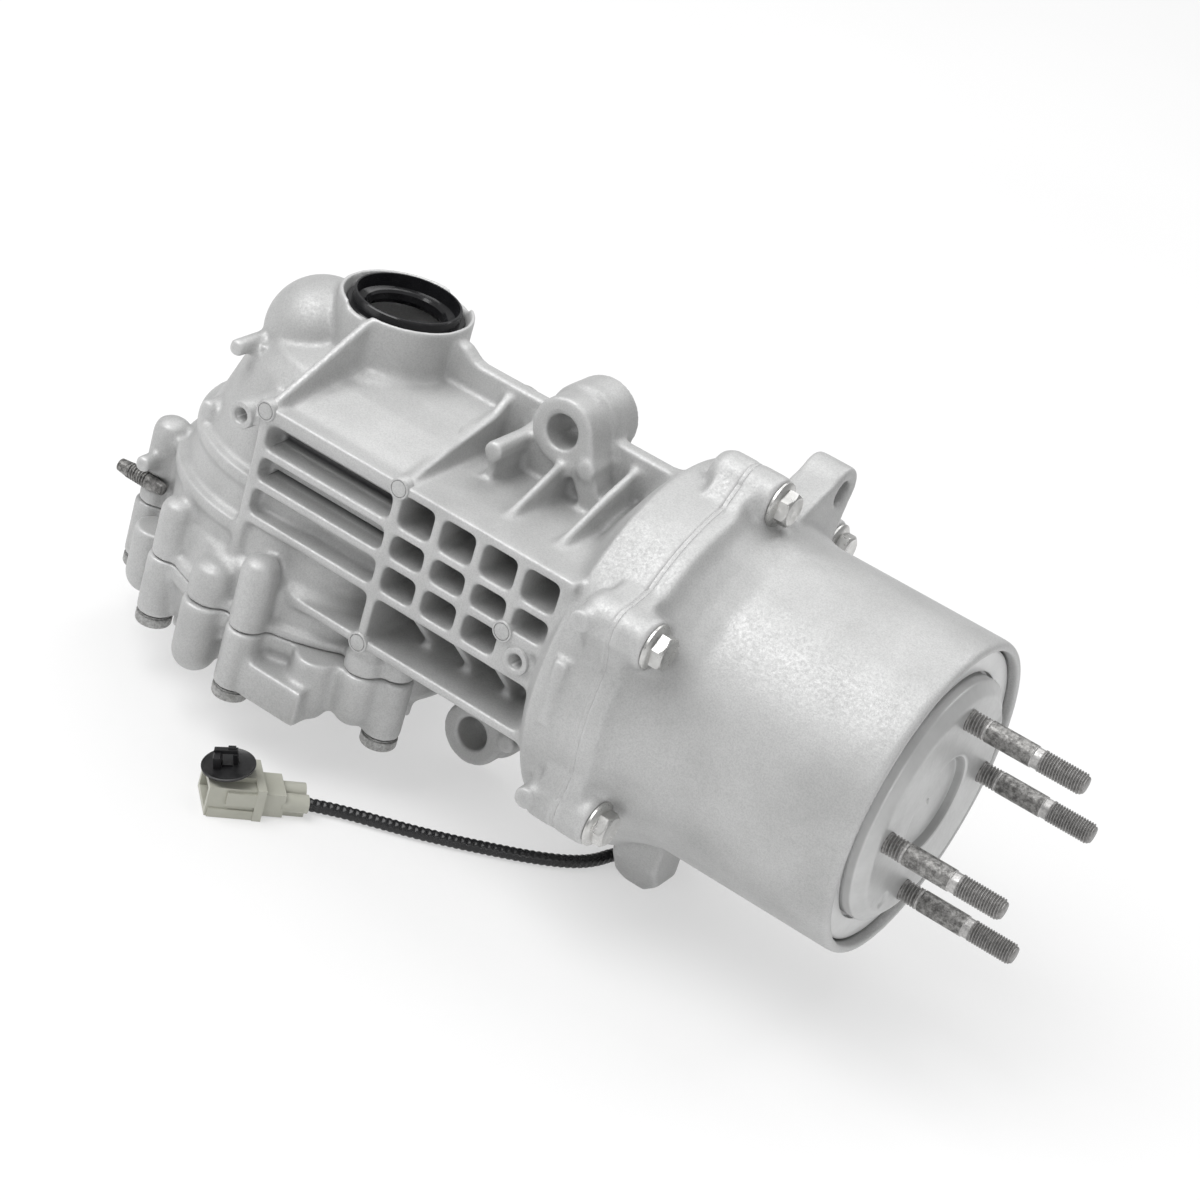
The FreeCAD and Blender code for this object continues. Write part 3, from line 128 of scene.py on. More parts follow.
class Nodes:
    """A new material's node tree and its shader."""

    def __init__(self, name):
        self.material = bpy.data.materials.new(name)
        self.material.use_nodes = True
        self.tree = self.material.node_tree
        self.shader = self.tree.nodes["Principled BSDF"]
        self.coord = self.tree.nodes.new("ShaderNodeTexCoord")

    def link(self, a, b):
        self.tree.links.new(a, b)

    def new(self, kind, **values):
        node = self.tree.nodes.new("ShaderNode" + kind)
        for key, value in values.items():
            if hasattr(node, key):
                setattr(node, key, value)
            else:
                node.inputs[key.replace("_", " ")].default_value = value
        return node

    def noise(self, scale, detail=2.0, rough=0.5):
        node = self.new("TexNoise", Scale=scale, Detail=detail, Roughness=rough)
        self.link(self.coord.outputs["Object"], node.inputs["Vector"])
        return node.outputs["Fac"]

    def ramp(self, source, low, high, low_at=0.3, high_at=0.7):
        node = self.new("ValToRGB")
        node.color_ramp.elements[0].position = low_at
        node.color_ramp.elements[1].position = high_at
        node.color_ramp.elements[0].color = (*low, 1)
        node.color_ramp.elements[1].color = (*high, 1)
        self.link(source, node.inputs["Fac"])
        return node.outputs["Color"]

    def map(self, source, low, high, from_low=0.0, from_high=1.0):
        node = self.new("MapRange")
        node.inputs["From Min"].default_value = from_low
        node.inputs["From Max"].default_value = from_high
        node.inputs["To Min"].default_value = low
        node.inputs["To Max"].default_value = high
        self.link(source, node.inputs["Value"])
        return node.outputs["Result"]

    def math(self, kind, a, b):
        node = self.new("Math")
        node.operation = kind
        for k, value in enumerate((a, b)):
            if isinstance(value, (int, float)):
                node.inputs[k].default_value = value
            else:
                self.link(value, node.inputs[k])
        return node.outputs[0]

    def bump(self, height, strength, distance):
        node = self.new("Bump", Strength=strength, Distance=distance)
        self.link(height, node.inputs["Height"])
        if self.shader.inputs["Normal"].is_linked:
            self.link(self.shader.inputs["Normal"].links[0].from_socket, node.inputs["Normal"])
        self.link(node.outputs["Normal"], self.shader.inputs["Normal"])

    def mix(self, factor, a, b, blend="MIX"):
        node = self.new("Mix", data_type="RGBA")
        node.blend_type = blend
        if isinstance(factor, (int, float)):
            node.inputs[0].default_value = factor
        else:
            self.link(factor, node.inputs[0])
        for socket, value in ((node.inputs[6], a), (node.inputs[7], b)):
            if isinstance(value, tuple):
                socket.default_value = (*value, 1)
            else:
                self.link(value, socket)
        return node.outputs[2]

    def pointiness(self, from_low, from_high, low, high):
        """Convexity of the surface (0.5 where flat), mapped and clamped."""
        geometry = self.new("NewGeometry")
        return self.map(geometry.outputs["Pointiness"], low, high, from_low, from_high)

    def out(self, name, value):
        if isinstance(value, (int, float)):
            self.shader.inputs[name].default_value = value
        else:
            self.link(value, self.shader.inputs[name])


def cast_aluminium(name="cast_aluminium", edge=0.8):
    """Blasted casting: fine sparkling grain, faint stains, painted shade in its hollows and a painted
    highlight on its edges, as strong as edge.
    """
    n = Nodes(name)
    colour = n.ramp(n.noise(24, 3, 0.6), (0.46, 0.462, 0.458), (0.57, 0.572, 0.568), 0.2, 0.6)
    grain = n.ramp(n.noise(1500, 2, 0.6), (0.78, 0.78, 0.79), (1.0, 1.0, 1.0), 0.36, 0.60)
    mixed = n.mix(0.6, colour, grain, "MULTIPLY")
    # Painted shade: hollows, found by their pointiness, are darkened towards dark grey.
    hollow = n.mix(n.pointiness(0.36, 0.49, 1.0, 0.0), mixed, (0.16, 0.16, 0.165))
    # Painted highlight: edges, found by their pointiness, are lightened towards pale grey, by as much as
    # edge.
    n.out("Base Color", n.mix(n.pointiness(0.51, 0.60, 0.0, edge), hollow, (0.80, 0.80, 0.80)))
    n.out("Metallic", 0.5)
    n.out("Roughness", n.map(n.noise(700, 2), 0.48, 0.66, 0.3, 0.7))
    n.bump(n.noise(1100, 2, 0.7), 0.42, 0.00016)
    n.bump(n.noise(160, 3, 0.55), 0.22, 0.0005)
    return n.material


def steel(name, dark, light, rough=(0.25, 0.42), metallic=1.0, grain=900, bump=0.08):
    """Bare or plated steel with a fine even grain."""
    n = Nodes(name)
    n.out("Base Color", n.ramp(n.noise(90, 4, 0.65), dark, light, 0.3, 0.7))
    n.out("Metallic", metallic)
    n.out("Roughness", n.map(n.noise(grain * 0.5, 2), rough[0], rough[1], 0.3, 0.7))
    n.bump(n.noise(grain, 2), bump, 0.0002)
    return n.material


def stud_steel(name, dark, light, grain=420):
    """Phosphated steel: dark and mottled, darker in its grooves, worn bright on edges and crests."""
    n = Nodes(name)
    fine = n.noise(grain, 5, 0.75)
    base = n.ramp(fine, dark, light, 0.40, 0.62)
    groove = n.mix(n.pointiness(0.34, 0.48, 1.0, 0.0), base, (0.035, 0.034, 0.033))
    wear = n.math("MULTIPLY", n.pointiness(0.52, 0.62, 0.0, 0.9), fine)
    n.out("Base Color", n.mix(wear, groove, (0.62, 0.61, 0.60)))
    n.out("Metallic", 0.7)
    n.out("Roughness", n.map(n.noise(600, 3), 0.36, 0.58, 0.3, 0.7))
    n.bump(n.noise(1400, 2), 0.3, 0.0002)
    return n.material


def flange_paint_with_painted_light(name, dark, light):
    """Silver finish of the flange: even and satin, with painted shade in its corners and a painted
    highlight on its edges.
    """
    n = Nodes(name)
    colour = n.ramp(n.noise(70, 4, 0.6), dark, light, 0.3, 0.65)
    # Painted shade: corners, found by their pointiness, are darkened towards dark grey.
    hollow = n.mix(n.pointiness(0.38, 0.49, 0.8, 0.0), colour, (0.22, 0.22, 0.225))
    # Painted highlight: edges, found by their pointiness, are lightened towards near white.
    n.out("Base Color", n.mix(n.pointiness(0.51, 0.58, 0.0, 0.7), hollow, (0.86, 0.86, 0.86)))
    n.out("Metallic", 0.4)
    n.out("Roughness", n.map(n.noise(500, 2), 0.36, 0.5, 0.3, 0.7))
    n.bump(n.noise(1300, 2), 0.16, 0.00012)
    return n.material


def rubber(name, colour, rough):
    """Smooth black rubber or sleeving."""
    n = Nodes(name)
    light = tuple(c * 1.8 for c in colour)
    n.out("Base Color", n.ramp(n.noise(120, 3), colour, light))
    n.out("Roughness", n.map(n.noise(350, 2), rough[0], rough[1], 0.3, 0.7))
    n.bump(n.noise(900, 2), 0.08, 0.0002)
    return n.material


def plastic(name, dark, light, rough=(0.32, 0.48)):
    """Moulded plastic with a faint grain."""
    n = Nodes(name)
    n.out("Base Color", n.ramp(n.noise(60, 3), dark, light))
    n.out("Roughness", n.map(n.noise(400, 2), rough[0], rough[1], 0.3, 0.7))
    n.bump(n.noise(1100, 2), 0.10, 0.00015)
    return n.material


def make_materials():
    """Materials by the names of their slots; a few more dress parts of pieces."""
    return {
        "cast_aluminium": cast_aluminium(),
        # Same casting with only a faint painted highlight on its edges.
        "cast_plain": cast_aluminium("cast_plain", edge=0.15),
        "machined_steel": steel("machined_steel", (0.42, 0.42, 0.43), (0.6, 0.6, 0.61)),
        "gear_steel": steel("gear_steel", (0.22, 0.22, 0.23), (0.38, 0.38, 0.39), (0.28, 0.45)),
        "zinc_bolt": steel(
            "zinc_bolt", (0.50, 0.50, 0.49), (0.72, 0.715, 0.70), (0.24, 0.44), bump=0.15),
        "zinc_dull": stud_steel("zinc_dull", (0.24, 0.24, 0.235), (0.46, 0.46, 0.455), 800),
        "stud_steel": stud_steel("stud_steel", (0.10, 0.098, 0.095), (0.36, 0.355, 0.345)),
        "stud_thread": stud_steel("stud_thread", (0.20, 0.195, 0.19), (0.34, 0.335, 0.33), 700),
        "stud_collar": stud_steel("stud_collar", (0.42, 0.415, 0.41), (0.62, 0.61, 0.60), 700),
        "flange_steel": flange_paint_with_painted_light("flange_steel", (0.54, 0.543, 0.54), (0.61, 0.613, 0.61)),
        # Darker copy of the flange's paint, for the recess's wall: painted shade.
        "flange_recess_shade": flange_paint_with_painted_light("flange_recess_shade", (0.30, 0.302, 0.30), (0.36, 0.362, 0.36)),
        "plate_paint": flange_paint_with_painted_light("plate_paint", (0.66, 0.663, 0.66), (0.73, 0.733, 0.73)),
        "black_rubber": rubber("black_rubber", (0.009, 0.009, 0.010), (0.10, 0.20)),
        "case_iron": steel(
            "case_iron", (0.10, 0.10, 0.105), (0.2, 0.2, 0.2), (0.45, 0.65), 0.8, 700, 0.3),
        "coil_resin": plastic("coil_resin", (0.16, 0.06, 0.03), (0.24, 0.10, 0.05)),
        "friction_steel": steel("friction_steel", (0.20, 0.18, 0.15), (0.32, 0.29, 0.25), (0.35, 0.55)),
        "connector_plastic": plastic("connector_plastic", (0.42, 0.42, 0.36), (0.50, 0.50, 0.44)),
        "clip_plastic": plastic(
            "clip_plastic", (0.008, 0.008, 0.009), (0.02, 0.02, 0.021), (0.28, 0.42)),
        "sleeve_black": rubber("sleeve_black", (0.008, 0.008, 0.009), (0.22, 0.38))}


# Mesh helpers

def new_object(name, mesh, material, body="housing", smooth=True):
    """Visible piece that rides on a body."""
    obj = bpy.data.objects.new(name, mesh)
    bpy.context.scene.collection.objects.link(obj)
    mesh.materials.clear()
    mesh.materials.append(material)
    if smooth:
        mesh.polygons.foreach_set("use_smooth", [True] * len(mesh.polygons))
    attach(obj, body)
    return obj


def sharpened(piece, angle):
    """Shades a piece smooth, with sharp edges above an angle in degrees."""
    piece.data.shade_smooth()
    piece.data.set_sharp_from_angle(angle=math.radians(angle))


def evaluated(obj):
    """Mesh of an object with its modifiers applied."""
    graph = bpy.context.evaluated_depsgraph_get()
    return bpy.data.meshes.new_from_object(obj.evaluated_get(graph), depsgraph=graph)


def stepped(work, kind, **values):
    """Applies one modifier to a work object's mesh."""
    modifier = work.modifiers.new("step", kind)
    for key, value in values.items():
        setattr(modifier, key, value)
    result = evaluated(work)
    work.modifiers.clear()
    old = work.data
    work.data = result
    bpy.data.meshes.remove(old)


def joined(name, meshes):
    """One mesh from several; those after the first are removed."""
    mesh = bmesh.new()
    for data in meshes:
        mesh.from_mesh(data)
    for data in meshes[1:]:
        bpy.data.meshes.remove(data)
    data = bpy.data.meshes.new(name)
    mesh.to_mesh(data)
    mesh.free()
    return data


def round_turns(count):
    """Angles of a full turn in equal steps."""
    return [2 * math.pi * s / count for s in range(count)]


def y_rings(x, z, profile, count):
    """Rings about a Y axis through (x, z) from a profile of (y, radius)."""
    turns = round_turns(count)
    return [[at(x + r * math.cos(a), y, z + r * math.sin(a)) for a in turns] for y, r in profile]


def bored(work, cutters):
    """Cuts the cutter meshes, which don't touch each other, out of a work object."""
    if not cutters:
        return
    data = joined("cutter", [bpy.data.meshes.new("cutter_start")] + cutters)
    cutter = bpy.data.objects.new("cutter", data)
    bpy.context.scene.collection.objects.link(cutter)
    stepped(work, "BOOLEAN", operation="DIFFERENCE", solver="EXACT", object=cutter)
    bpy.data.objects.remove(cutter)


def soft_casting(node, voxel, fillet, smooth_steps, max_triangles, material, additions=(), bores=()):
    """Copy of a cast node with fillets in its corners and rounded edges.

    The skin is swollen and shrunk by the fillet's radius, which rounds what is hollow, and then relaxed.
    Additions are joined to the node's mesh before that, and bores are cut from the skin after it.
    """
    start = joined(node + "_work", [frame["nodes"][node].data] + list(additions))
    work = bpy.data.objects.new(node + "_work", start)
    bpy.context.scene.collection.objects.link(work)
    stepped(work, "REMESH", mode="VOXEL", voxel_size=voxel * MM, adaptivity=0.0)
    stepped(work, "DISPLACE", strength=fillet * MM, mid_level=0.0)
    stepped(work, "REMESH", mode="VOXEL", voxel_size=voxel * MM, adaptivity=0.0)
    stepped(work, "SMOOTH", factor=0.5, iterations=1)
    stepped(work, "DISPLACE", strength=-fillet * MM, mid_level=0.0)
    stepped(work, "REMESH", mode="VOXEL", voxel_size=voxel * MM, adaptivity=0.0)
    stepped(work, "SMOOTH", factor=0.5, iterations=smooth_steps)
    triangles = sum(len(p.vertices) - 2 for p in work.data.polygons)
    if triangles > max_triangles:
        stepped(work, "DECIMATE", ratio=max_triangles / triangles)
    bored(work, bores)
    result = work.data
    bpy.data.objects.remove(work)
    piece = new_object(node + "_skin", result, material)
    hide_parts(node)


def bevel(obj, width, segments):
    """Rounds an object's edges above 30 degrees; the width is in mm."""
    modifier = obj.modifiers.new("edge", "BEVEL")
    modifier.width = width * MM
    modifier.segments = segments
    modifier.limit_method = "ANGLE"
    modifier.angle_limit = math.radians(30)
    modifier.harden_normals = True


def ring_mesh(name, rings, closed_start=True, closed_end=True):
    """Mesh through rings of points, each with the same count, with flat caps at its ends."""
    mesh = bmesh.new()
    loops = [[mesh.verts.new(p) for p in ring] for ring in rings]
    count = len(loops[0])
    for a, b in zip(loops[:-1], loops[1:]):
        for s in range(count):
            t = (s + 1) % count
            mesh.faces.new((a[s], a[t], b[t], b[s]))
    if closed_start:
        mesh.faces.new(loops[0])
    if closed_end:
        mesh.faces.new(list(reversed(loops[-1])))
    bmesh.ops.recalc_face_normals(mesh, faces=mesh.faces)
    data = bpy.data.meshes.new(name)
    mesh.to_mesh(data)
    mesh.free()
    return data


def turned_rings(profile, segments, depth=None):
    """Rings about the X axis from a profile of (x, radius); depth(y, z) sinks points along X, in mm."""
    rings = []
    for x, r in profile:
        ring = []
        for a in round_turns(segments):
            y, z = r * math.sin(a), r * math.cos(a)
            sink = depth(y, z) if depth else 0.0
            ring.append(at(x - sink, y, z))
        rings.append(ring)
    return rings


# Details of the carrier that the remeshed skin would lose

def chamber_rings():
    """Two stepped rings round the chamber's far end, to be joined to the carrier's skin."""
    axis_x, axis_y = RING_AXIS
    first, turn, steps = 92, 182, 90
    meshes = []
    for level, wall in RING_LEVELS:
        outline = [(wall - 5, level), (wall + 1.0, level), (wall + 2.6, level + 2.2),
                   (wall + 2.6, level + 6.8), (wall + 2.0, level + 7.6), (wall - 5, level + 7.6)]
        rings = []
        for s in range(steps + 1):
            a = math.radians(first + turn * s / steps)
            rings.append([at(axis_x + r * math.cos(a), axis_y + r * math.sin(a), z) for r, z in outline])
        meshes.append(ring_mesh("chamber_ring", rings))
    return meshes


def panel_cutters():
    """Cutters for the bores of the rib bosses and for the grooves beside the panel's low ribs."""
    bore = ((RIB_FACE_Y - 14.0, BOSS_BORE_R), (RIB_FACE_Y + 20.0, BOSS_BORE_R))
    meshes = [ring_mesh("bore", y_rings(x, z, bore, 40)) for x, z in RIB_BOSSES]
    for low, top in PANEL_GROOVES:
        section = ((-69.0, low), (-69.0, top), (-59.6, top - 0.2), (-58.6, top - 1.0),
                   (-58.6, low + 1.0), (-59.6, low + 0.2))
        rings = [[at(x, y, z) for y, z in section] for x in (-5.0, 61.0)]
        meshes.append(ring_mesh("groove", rings))
    return meshes


def y_turned(name, places, profile, material, closed):
    """One piece of equal turned shapes about Y axes at places (x, z); the profile is (y, radius)."""
    meshes = [bpy.data.meshes.new(name + "_start")]
    for x, z in places:
        meshes.append(ring_mesh(name, y_rings(x, z, profile, 64), closed, closed))
    piece = new_object(name, joined(name, meshes), material, smooth=False)
    sharpened(piece, 38)


def add_pads(material):
    """Round marks on the rib crossings, each in a fine groove, and the rims of the bored bosses."""
    face = RIB_FACE_Y - 1.0
    pad = [(face + 5, 2.9), (face + 5, 4.9), (face + 0.5, 4.9), (face + 0.1, 4.6), (face, 4.3),
           (face + 0.1, 4.0), (face + 0.45, 3.9), (face + 0.45, 3.7), (face + 0.1, 3.6),
           (face - 0.1, 3.3), (face - 0.1, 0.4)]
    y_turned("rib_pads", RIB_PADS, pad, material, True)
    face = RIB_FACE_Y - 1.2
    rim = [(face + 14, BOSS_BORE_R), (face + 14, 5.6), (face + 12, 6.6), (face + 0.8, 6.4),
           (face + 0.2, 6.1), (face, 5.6), (face, 4.3), (face + 0.2, 3.9), (face + 0.9, 3.35),
           (face + 14, BOSS_BORE_R)]
    y_turned("boss_rims", RIB_BOSSES, rim, material, False)


def joint_outline():
    """Outer outline of the coupling cover's joint face, as points (y, z) in mm in order."""
    plane = (COVER_FACE_X - FLANGE_X) * MM
    mesh = bmesh.new()
    mesh.from_mesh(frame["nodes"]["coupling_cover"].data)
    bmesh.ops.remove_doubles(mesh, verts=mesh.verts, dist=1e-6)
    faces = [f for f in mesh.faces if all(abs(v.co.x - plane) < 2e-5 for v in f.verts)]
    chosen = set(faces)
    ahead = {}
    for face in faces:
        for loop in face.loops:
            if sum(other in chosen for other in loop.edge.link_faces) == 1:
                ahead[loop.vert] = loop.link_loop_next.vert
    outlines = []
    while ahead:
        here = next(iter(ahead))
        walk = []
        while here in ahead:
            walk.append(here)
            here = ahead.pop(here)
        outlines.append([Vector((v.co.y, v.co.z)) / MM for v in walk])
    mesh.free()
    outline = max(outlines, key=lambda points: max(p.length for p in points))
    return [a for a, b in zip(outline, outline[1:] + outline[:1]) if (b - a).length > 0.05]


def add_joint_bead(material):
    """Bead in the joint between carrier and coupling cover, on the outline of the cover's joint face."""
    spaced = joint_outline()
    count = len(spaced)
    area = sum(a.x * b.y - b.x * a.y for a, b in zip(spaced, spaced[1:] + spaced[:1]))
    turn = 1 if area > 0 else -1
    section = ((-1.3, 0.8), (-0.9, 0.42), (0.0, 0.3), (0.9, 0.42), (1.3, 0.8), (1.2, 2.4), (-1.2, 2.4))
    rings = []
    for k, point in enumerate(spaced):
        before = (point - spaced[k - 1]).normalized()
        after = (spaced[(k + 1) % count] - point).normalized()
        inward = Vector((-(before.y + after.y), before.x + after.x)).normalized() * turn
        rings.append([at(COVER_FACE_X + x, *(point + inward * depth)) for x, depth in section])
    rings.append(rings[0])
    data = ring_mesh("joint_bead", rings, closed_start=False, closed_end=False)
    work = bmesh.new()
    work.from_mesh(data)
    bmesh.ops.remove_doubles(work, verts=work.verts, dist=1e-7)
    bmesh.ops.recalc_face_normals(work, faces=work.faces)
    work.to_mesh(data)
    work.free()
    new_object("joint_bead", data, material, smooth=False)


# Bolts

def bolt_frame(seat, direction):
    """Function that gives a bolt's point at a height above its seat, a radius and an angle."""
    up = -direction.normalized()
    side = up.orthogonal().normalized()
    other = up.cross(side)

    def point(height, r, angle):
        return seat + (up * height + side * (r * math.cos(angle)) + other * (r * math.sin(angle))) * MM

    return point


def hexagon_r(half, angle):
    """Radius of a hexagon of half width across flats at an angle."""
    return half / math.cos((angle + math.pi / 6) % (math.pi / 3) - math.pi / 6)


def flange_bolt_rings(seat, direction, shank_r, grip, washer, flats, head, turn):
    """Rings of a flange bolt, its shank along direction from its seat; washer is (radius, thickness)."""
    point = bolt_frame(seat, direction)
    washer_r, washer_t = washer
    half = flats / 2
    corner = flats / math.sqrt(3)

    def ring(height, limit, hexagon=False):
        points = []
        for a in round_turns(60):
            r = min(limit, hexagon_r(half, a)) if hexagon else limit
            points.append(point(height, r, a + math.radians(turn)))
        return points

    rings = [ring(-grip, shank_r - 1.0), ring(-grip + 1, shank_r), ring(0.02, shank_r),
             ring(0.02, washer_r - 0.35), ring(0.35, washer_r), ring(washer_t - 0.9, washer_r),
             ring(washer_t - 0.45, washer_r - 0.4), ring(washer_t + 0.3, corner + 0.5),
             ring(washer_t + 0.6, corner, True), ring(head - 1.6, corner, True)]
    for k in range(1, 6):
        chamfer = corner - (corner - half * 0.93) * (k / 5) ** 1.4
        rings.append(ring(head - 1.6 + 0.32 * k, chamfer, True))
    rings += [ring(head, half * 0.86), ring(head - 0.45, half * 0.72), ring(head - 0.5, half * 0.2)]
    return rings


def round_bolt_rings(seat, direction, shank_r, grip, head_r, head):
    """Rings of a bolt with a low round head and a hexagon socket in it."""
    point = bolt_frame(seat, direction)

    def ring(height, limit, hexagon=False):
        return [point(height, hexagon_r(limit, a) if hexagon else limit, a) for a in round_turns(60)]

    return [ring(-grip, shank_r - 1.0), ring(-grip + 1, shank_r), ring(0.05, shank_r),
            ring(0.05, head_r - 0.9), ring(0.7, head_r - 0.9), ring(0.9, head_r - 0.1),
            ring(1.2, head_r), ring(head - 1.0, head_r), ring(head - 0.3, head_r - 0.4),
            ring(head, head_r - 1.2), ring(head, 4.6), ring(head - 0.4, 4.0, True),
            ring(head - 3.2, 4.0, True)]


def add_bolts(name, node, bolts, material, shape=flange_bolt_rings):
    """One piece for a group of bolts; each bolt is a tuple of arguments of the shape's function."""
    mesh = bmesh.new()
    for bolt in bolts:
        data = ring_mesh(name + "_one", shape(*bolt))
        mesh.from_mesh(data)
        bpy.data.meshes.remove(data)
    data = bpy.data.meshes.new(name)
    mesh.to_mesh(data)
    mesh.free()
    piece = new_object(name, data, material, smooth=False)
    sharpened(piece, 34)
    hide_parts(node)


def add_all_bolts(material, dull):
    """Joint bolts, of which the lowest is turned round, side cover bolts and the two plugs."""
    joint = []
    for k in range(6):
        a = math.radians(60 * k)
        y, z = -JOINT_CIRCLE_R * math.sin(a), JOINT_CIRCLE_R * math.cos(a)
        if k == 3:
            seat, run = at(COVER_FACE_X - JOINT_BACK_SEAT, y, z), Vector((1, 0, 0))
        else:
            seat, run = at(COVER_FACE_X + JOINT_SEAT, y, z), Vector((-1, 0, 0))
        joint.append((seat, run, *JOINT_BOLT, 17 * k + 8))
    add_bolts("joint_bolts", "coupling_cover_bolts", joint, material)
    side = []
    for x, y, reach in SIDE_COLUMNS:
        grip = SEAM_Z - BARREL_SEAT_Z + min(reach, 16.0) - 3
        side.append((at(x, y, BARREL_SEAT_Z), Vector((0, 0, 1)), 4.0, grip, 8.5, 5.6))
    add_bolts("side_bolts", "side_cover_bolts", side, dull, round_bolt_rings)
    for name, x, z, turn in PLUGS:
        bolt = (at(x, PLUG_SEAT_Y, z), Vector((0, -1, 0)), *PLUG_BOLT, turn)
        add_bolts(name + "_head", name, [bolt], material)


# Input flange and the plate behind it

def face_sink(y, z):
    """Depth of the flange face's two dimples and centre mark at a point, in mm."""
    sink = 0.0
    for mark_y, mark_z in ((-21.4, -40.4), (41.5, 30.1)):
        d = math.hypot(y - mark_y, z - mark_z) / 3.4
        if d < 1.25:
            sink += 0.9 * min(1.0, max(0.0, (1.25 - d) / 0.5))
    if max(abs(y + z) / 0.9, abs(y - z) / 3.2) < 1.0:
        sink += 0.5
    return sink


def add_flange(materials):
    """Flange with a chamfered rim, a recess with a turned wall in painted shade, and a face with its marks.
    """
    face = FLANGE_X
    profile = [(face - 51, 27.8), (face - 40, 27.8), (face - 13.4, 22.2), (face - 13.4, 30.0),
               (face - 12, 30.2), (face - 12, 57.0), (face - 11.4, 57.8), (face - 10.8, 58.0),
               (face - 5.0, 58.0), (face - 4.3, 57.8), (face - 3.8, 57.3), (face - 0.9, 53.0),
               (face - 0.4, 52.2), (face - 0.05, 51.0)]
    profile += [(face - 0.02, 50.4 - 0.7 * k) for k in range(37)]
    profile += [(face - 0.15, 24.3), (face - 0.6, 23.5), (face - 3.2, 22.2), (face - 3.8, 21.6)]
    profile += [(face - 4.0, 20.6 - 0.6 * k) for k in range(34)]
    data = ring_mesh("input_flange_face", turned_rings(profile, 360, face_sink), closed_start=False)
    paint = materials["flange_steel"]
    piece = new_object("input_flange_face", data, paint, "input", smooth=False)
    sharpened(piece, 40)
    # The recess's wall takes the darker copy of the paint, as painted shade.
    data.materials.append(materials["flange_recess_shade"])
    for polygon in data.polygons:
        centre = polygon.center / MM
        if -3.6 < centre.x < -0.4 and math.hypot(centre.y, centre.z) < 24.5:
            polygon.material_index = 1
    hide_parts("input_flange")


def add_plate(material):
    """Light annular plate behind the flange, with a groove round the flange."""
    inner = FLANGE_X - 12.1
    face = FLANGE_X - 8.6
    profile = [(inner - 1.1, 30.2), (face - 3.2, 44.0), (face - 3.2, 60.0), (face - 1.2, 62.0),
               (face - 1.2, 67.6), (face - 1.0, 69.0), (face - 0.4, 69.4), (face - 0.1, 69.0),
               (face, 68.0), (face, 59.9), (face - 0.3, 59.4), (face - 2.6, 59.1),
               (face - 2.8, 58.2), (face - 2.8, 44.4), (inner, 30.2)]
    data = ring_mesh("dust_plate", turned_rings(profile, 180), closed_start=False, closed_end=False)
    piece = new_object("dust_plate", data, material, "input", smooth=False)
    sharpened(piece, 40)
    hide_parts("dust_deflector")


# Studs and breather

def threaded_rod(name, sections):
    """Rod along +X from the origin, chamfered at its end.

    Sections are (start, end, pitch or 0, radius) in mm; a section with a pitch is threaded.
    """
    tip = sections[-1][1]
    rings = []
    for start, end, pitch, radius in sections:
        if pitch:
            count = round((end - start) / (pitch / 8))
            steps = [start + (end - start) * k / count for k in range(count + 1)]
        else:
            steps = [start + 0.02, start + 0.3, end - 0.3, end - 0.02]
        for x in steps:
            ring = []
            for a in round_turns(36):
                r = radius
                if pitch:
                    fade = max(0.0, min(1.0, (x - start) / pitch, (end - x) / pitch))
                    wave = abs(((x / pitch - a / (2 * math.pi)) % 1.0) - 0.5) * 2
                    r -= 0.62 * pitch * (1 - min(1.0, max(0.0, wave * 1.25 - 0.1))) * fade
                if x > tip - 1.6:
                    r -= (x - tip + 1.6) * 0.8
                ring.append((x * MM, r * math.cos(a) * MM, r * math.sin(a) * MM))
            rings.append(ring)
    return ring_mesh(name, rings)


def add_studs(materials):
    """Four studs: buried foot, a short thread, a plain shank, a bright collar and the nut's thread."""
    sections = ((0, 11.4, 0, 4.95), (11.4, 19.5, 1.5, 4.95), (19.5, 20.6, 0, 4.5),
                (20.6, 42.4, 0, 4.95), (42.4, 45.8, 0, 4.55), (45.8, 66.8, 1.25, 4.95))
    for k in range(4):
        name = "input_stud_%d" % (k + 1)
        a = math.radians(90 * k)
        data = threaded_rod(name, sections)
        data.transform(Matrix.Translation(
            at(FLANGE_X - STUD_FOOT, -STUD_CIRCLE_R * math.sin(a), STUD_CIRCLE_R * math.cos(a))))
        stud = new_object(name, data, materials["stud_steel"], "input")
        data.materials.append(materials["stud_thread"])
        data.materials.append(materials["stud_collar"])
        for polygon in data.polygons:
            x = polygon.center.x / MM + STUD_FOOT
            if x > 45.8 or 11.4 < x < 19.5:
                polygon.material_index = 1
            elif x > 42.2 or 19.4 < x < 20.6:
                polygon.material_index = 2
        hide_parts("input_studs")


def add_breather(material):
    """Breather: slim smooth nipple at its free end, then a coarse thread into the casting."""
    data = threaded_rod("breather", ((0, 6, 0, 3.9), (6, 18, 1.5, 3.9), (18, 26.5, 0, 3.9)))
    for vertex in data.vertices:
        if vertex.co.x < 6 * MM:
            slim = 0.80 + 0.20 * min(1.0, max(0.0, vertex.co.x / MM - 4.5) / 1.5)
            vertex.co.y *= slim
            vertex.co.z *= slim
    data.transform(Matrix.Translation(at(*BREATHER_END)))
    piece = new_object("breather", data, material)
    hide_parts("breather_fitting")


# Cord and the clip on its connector

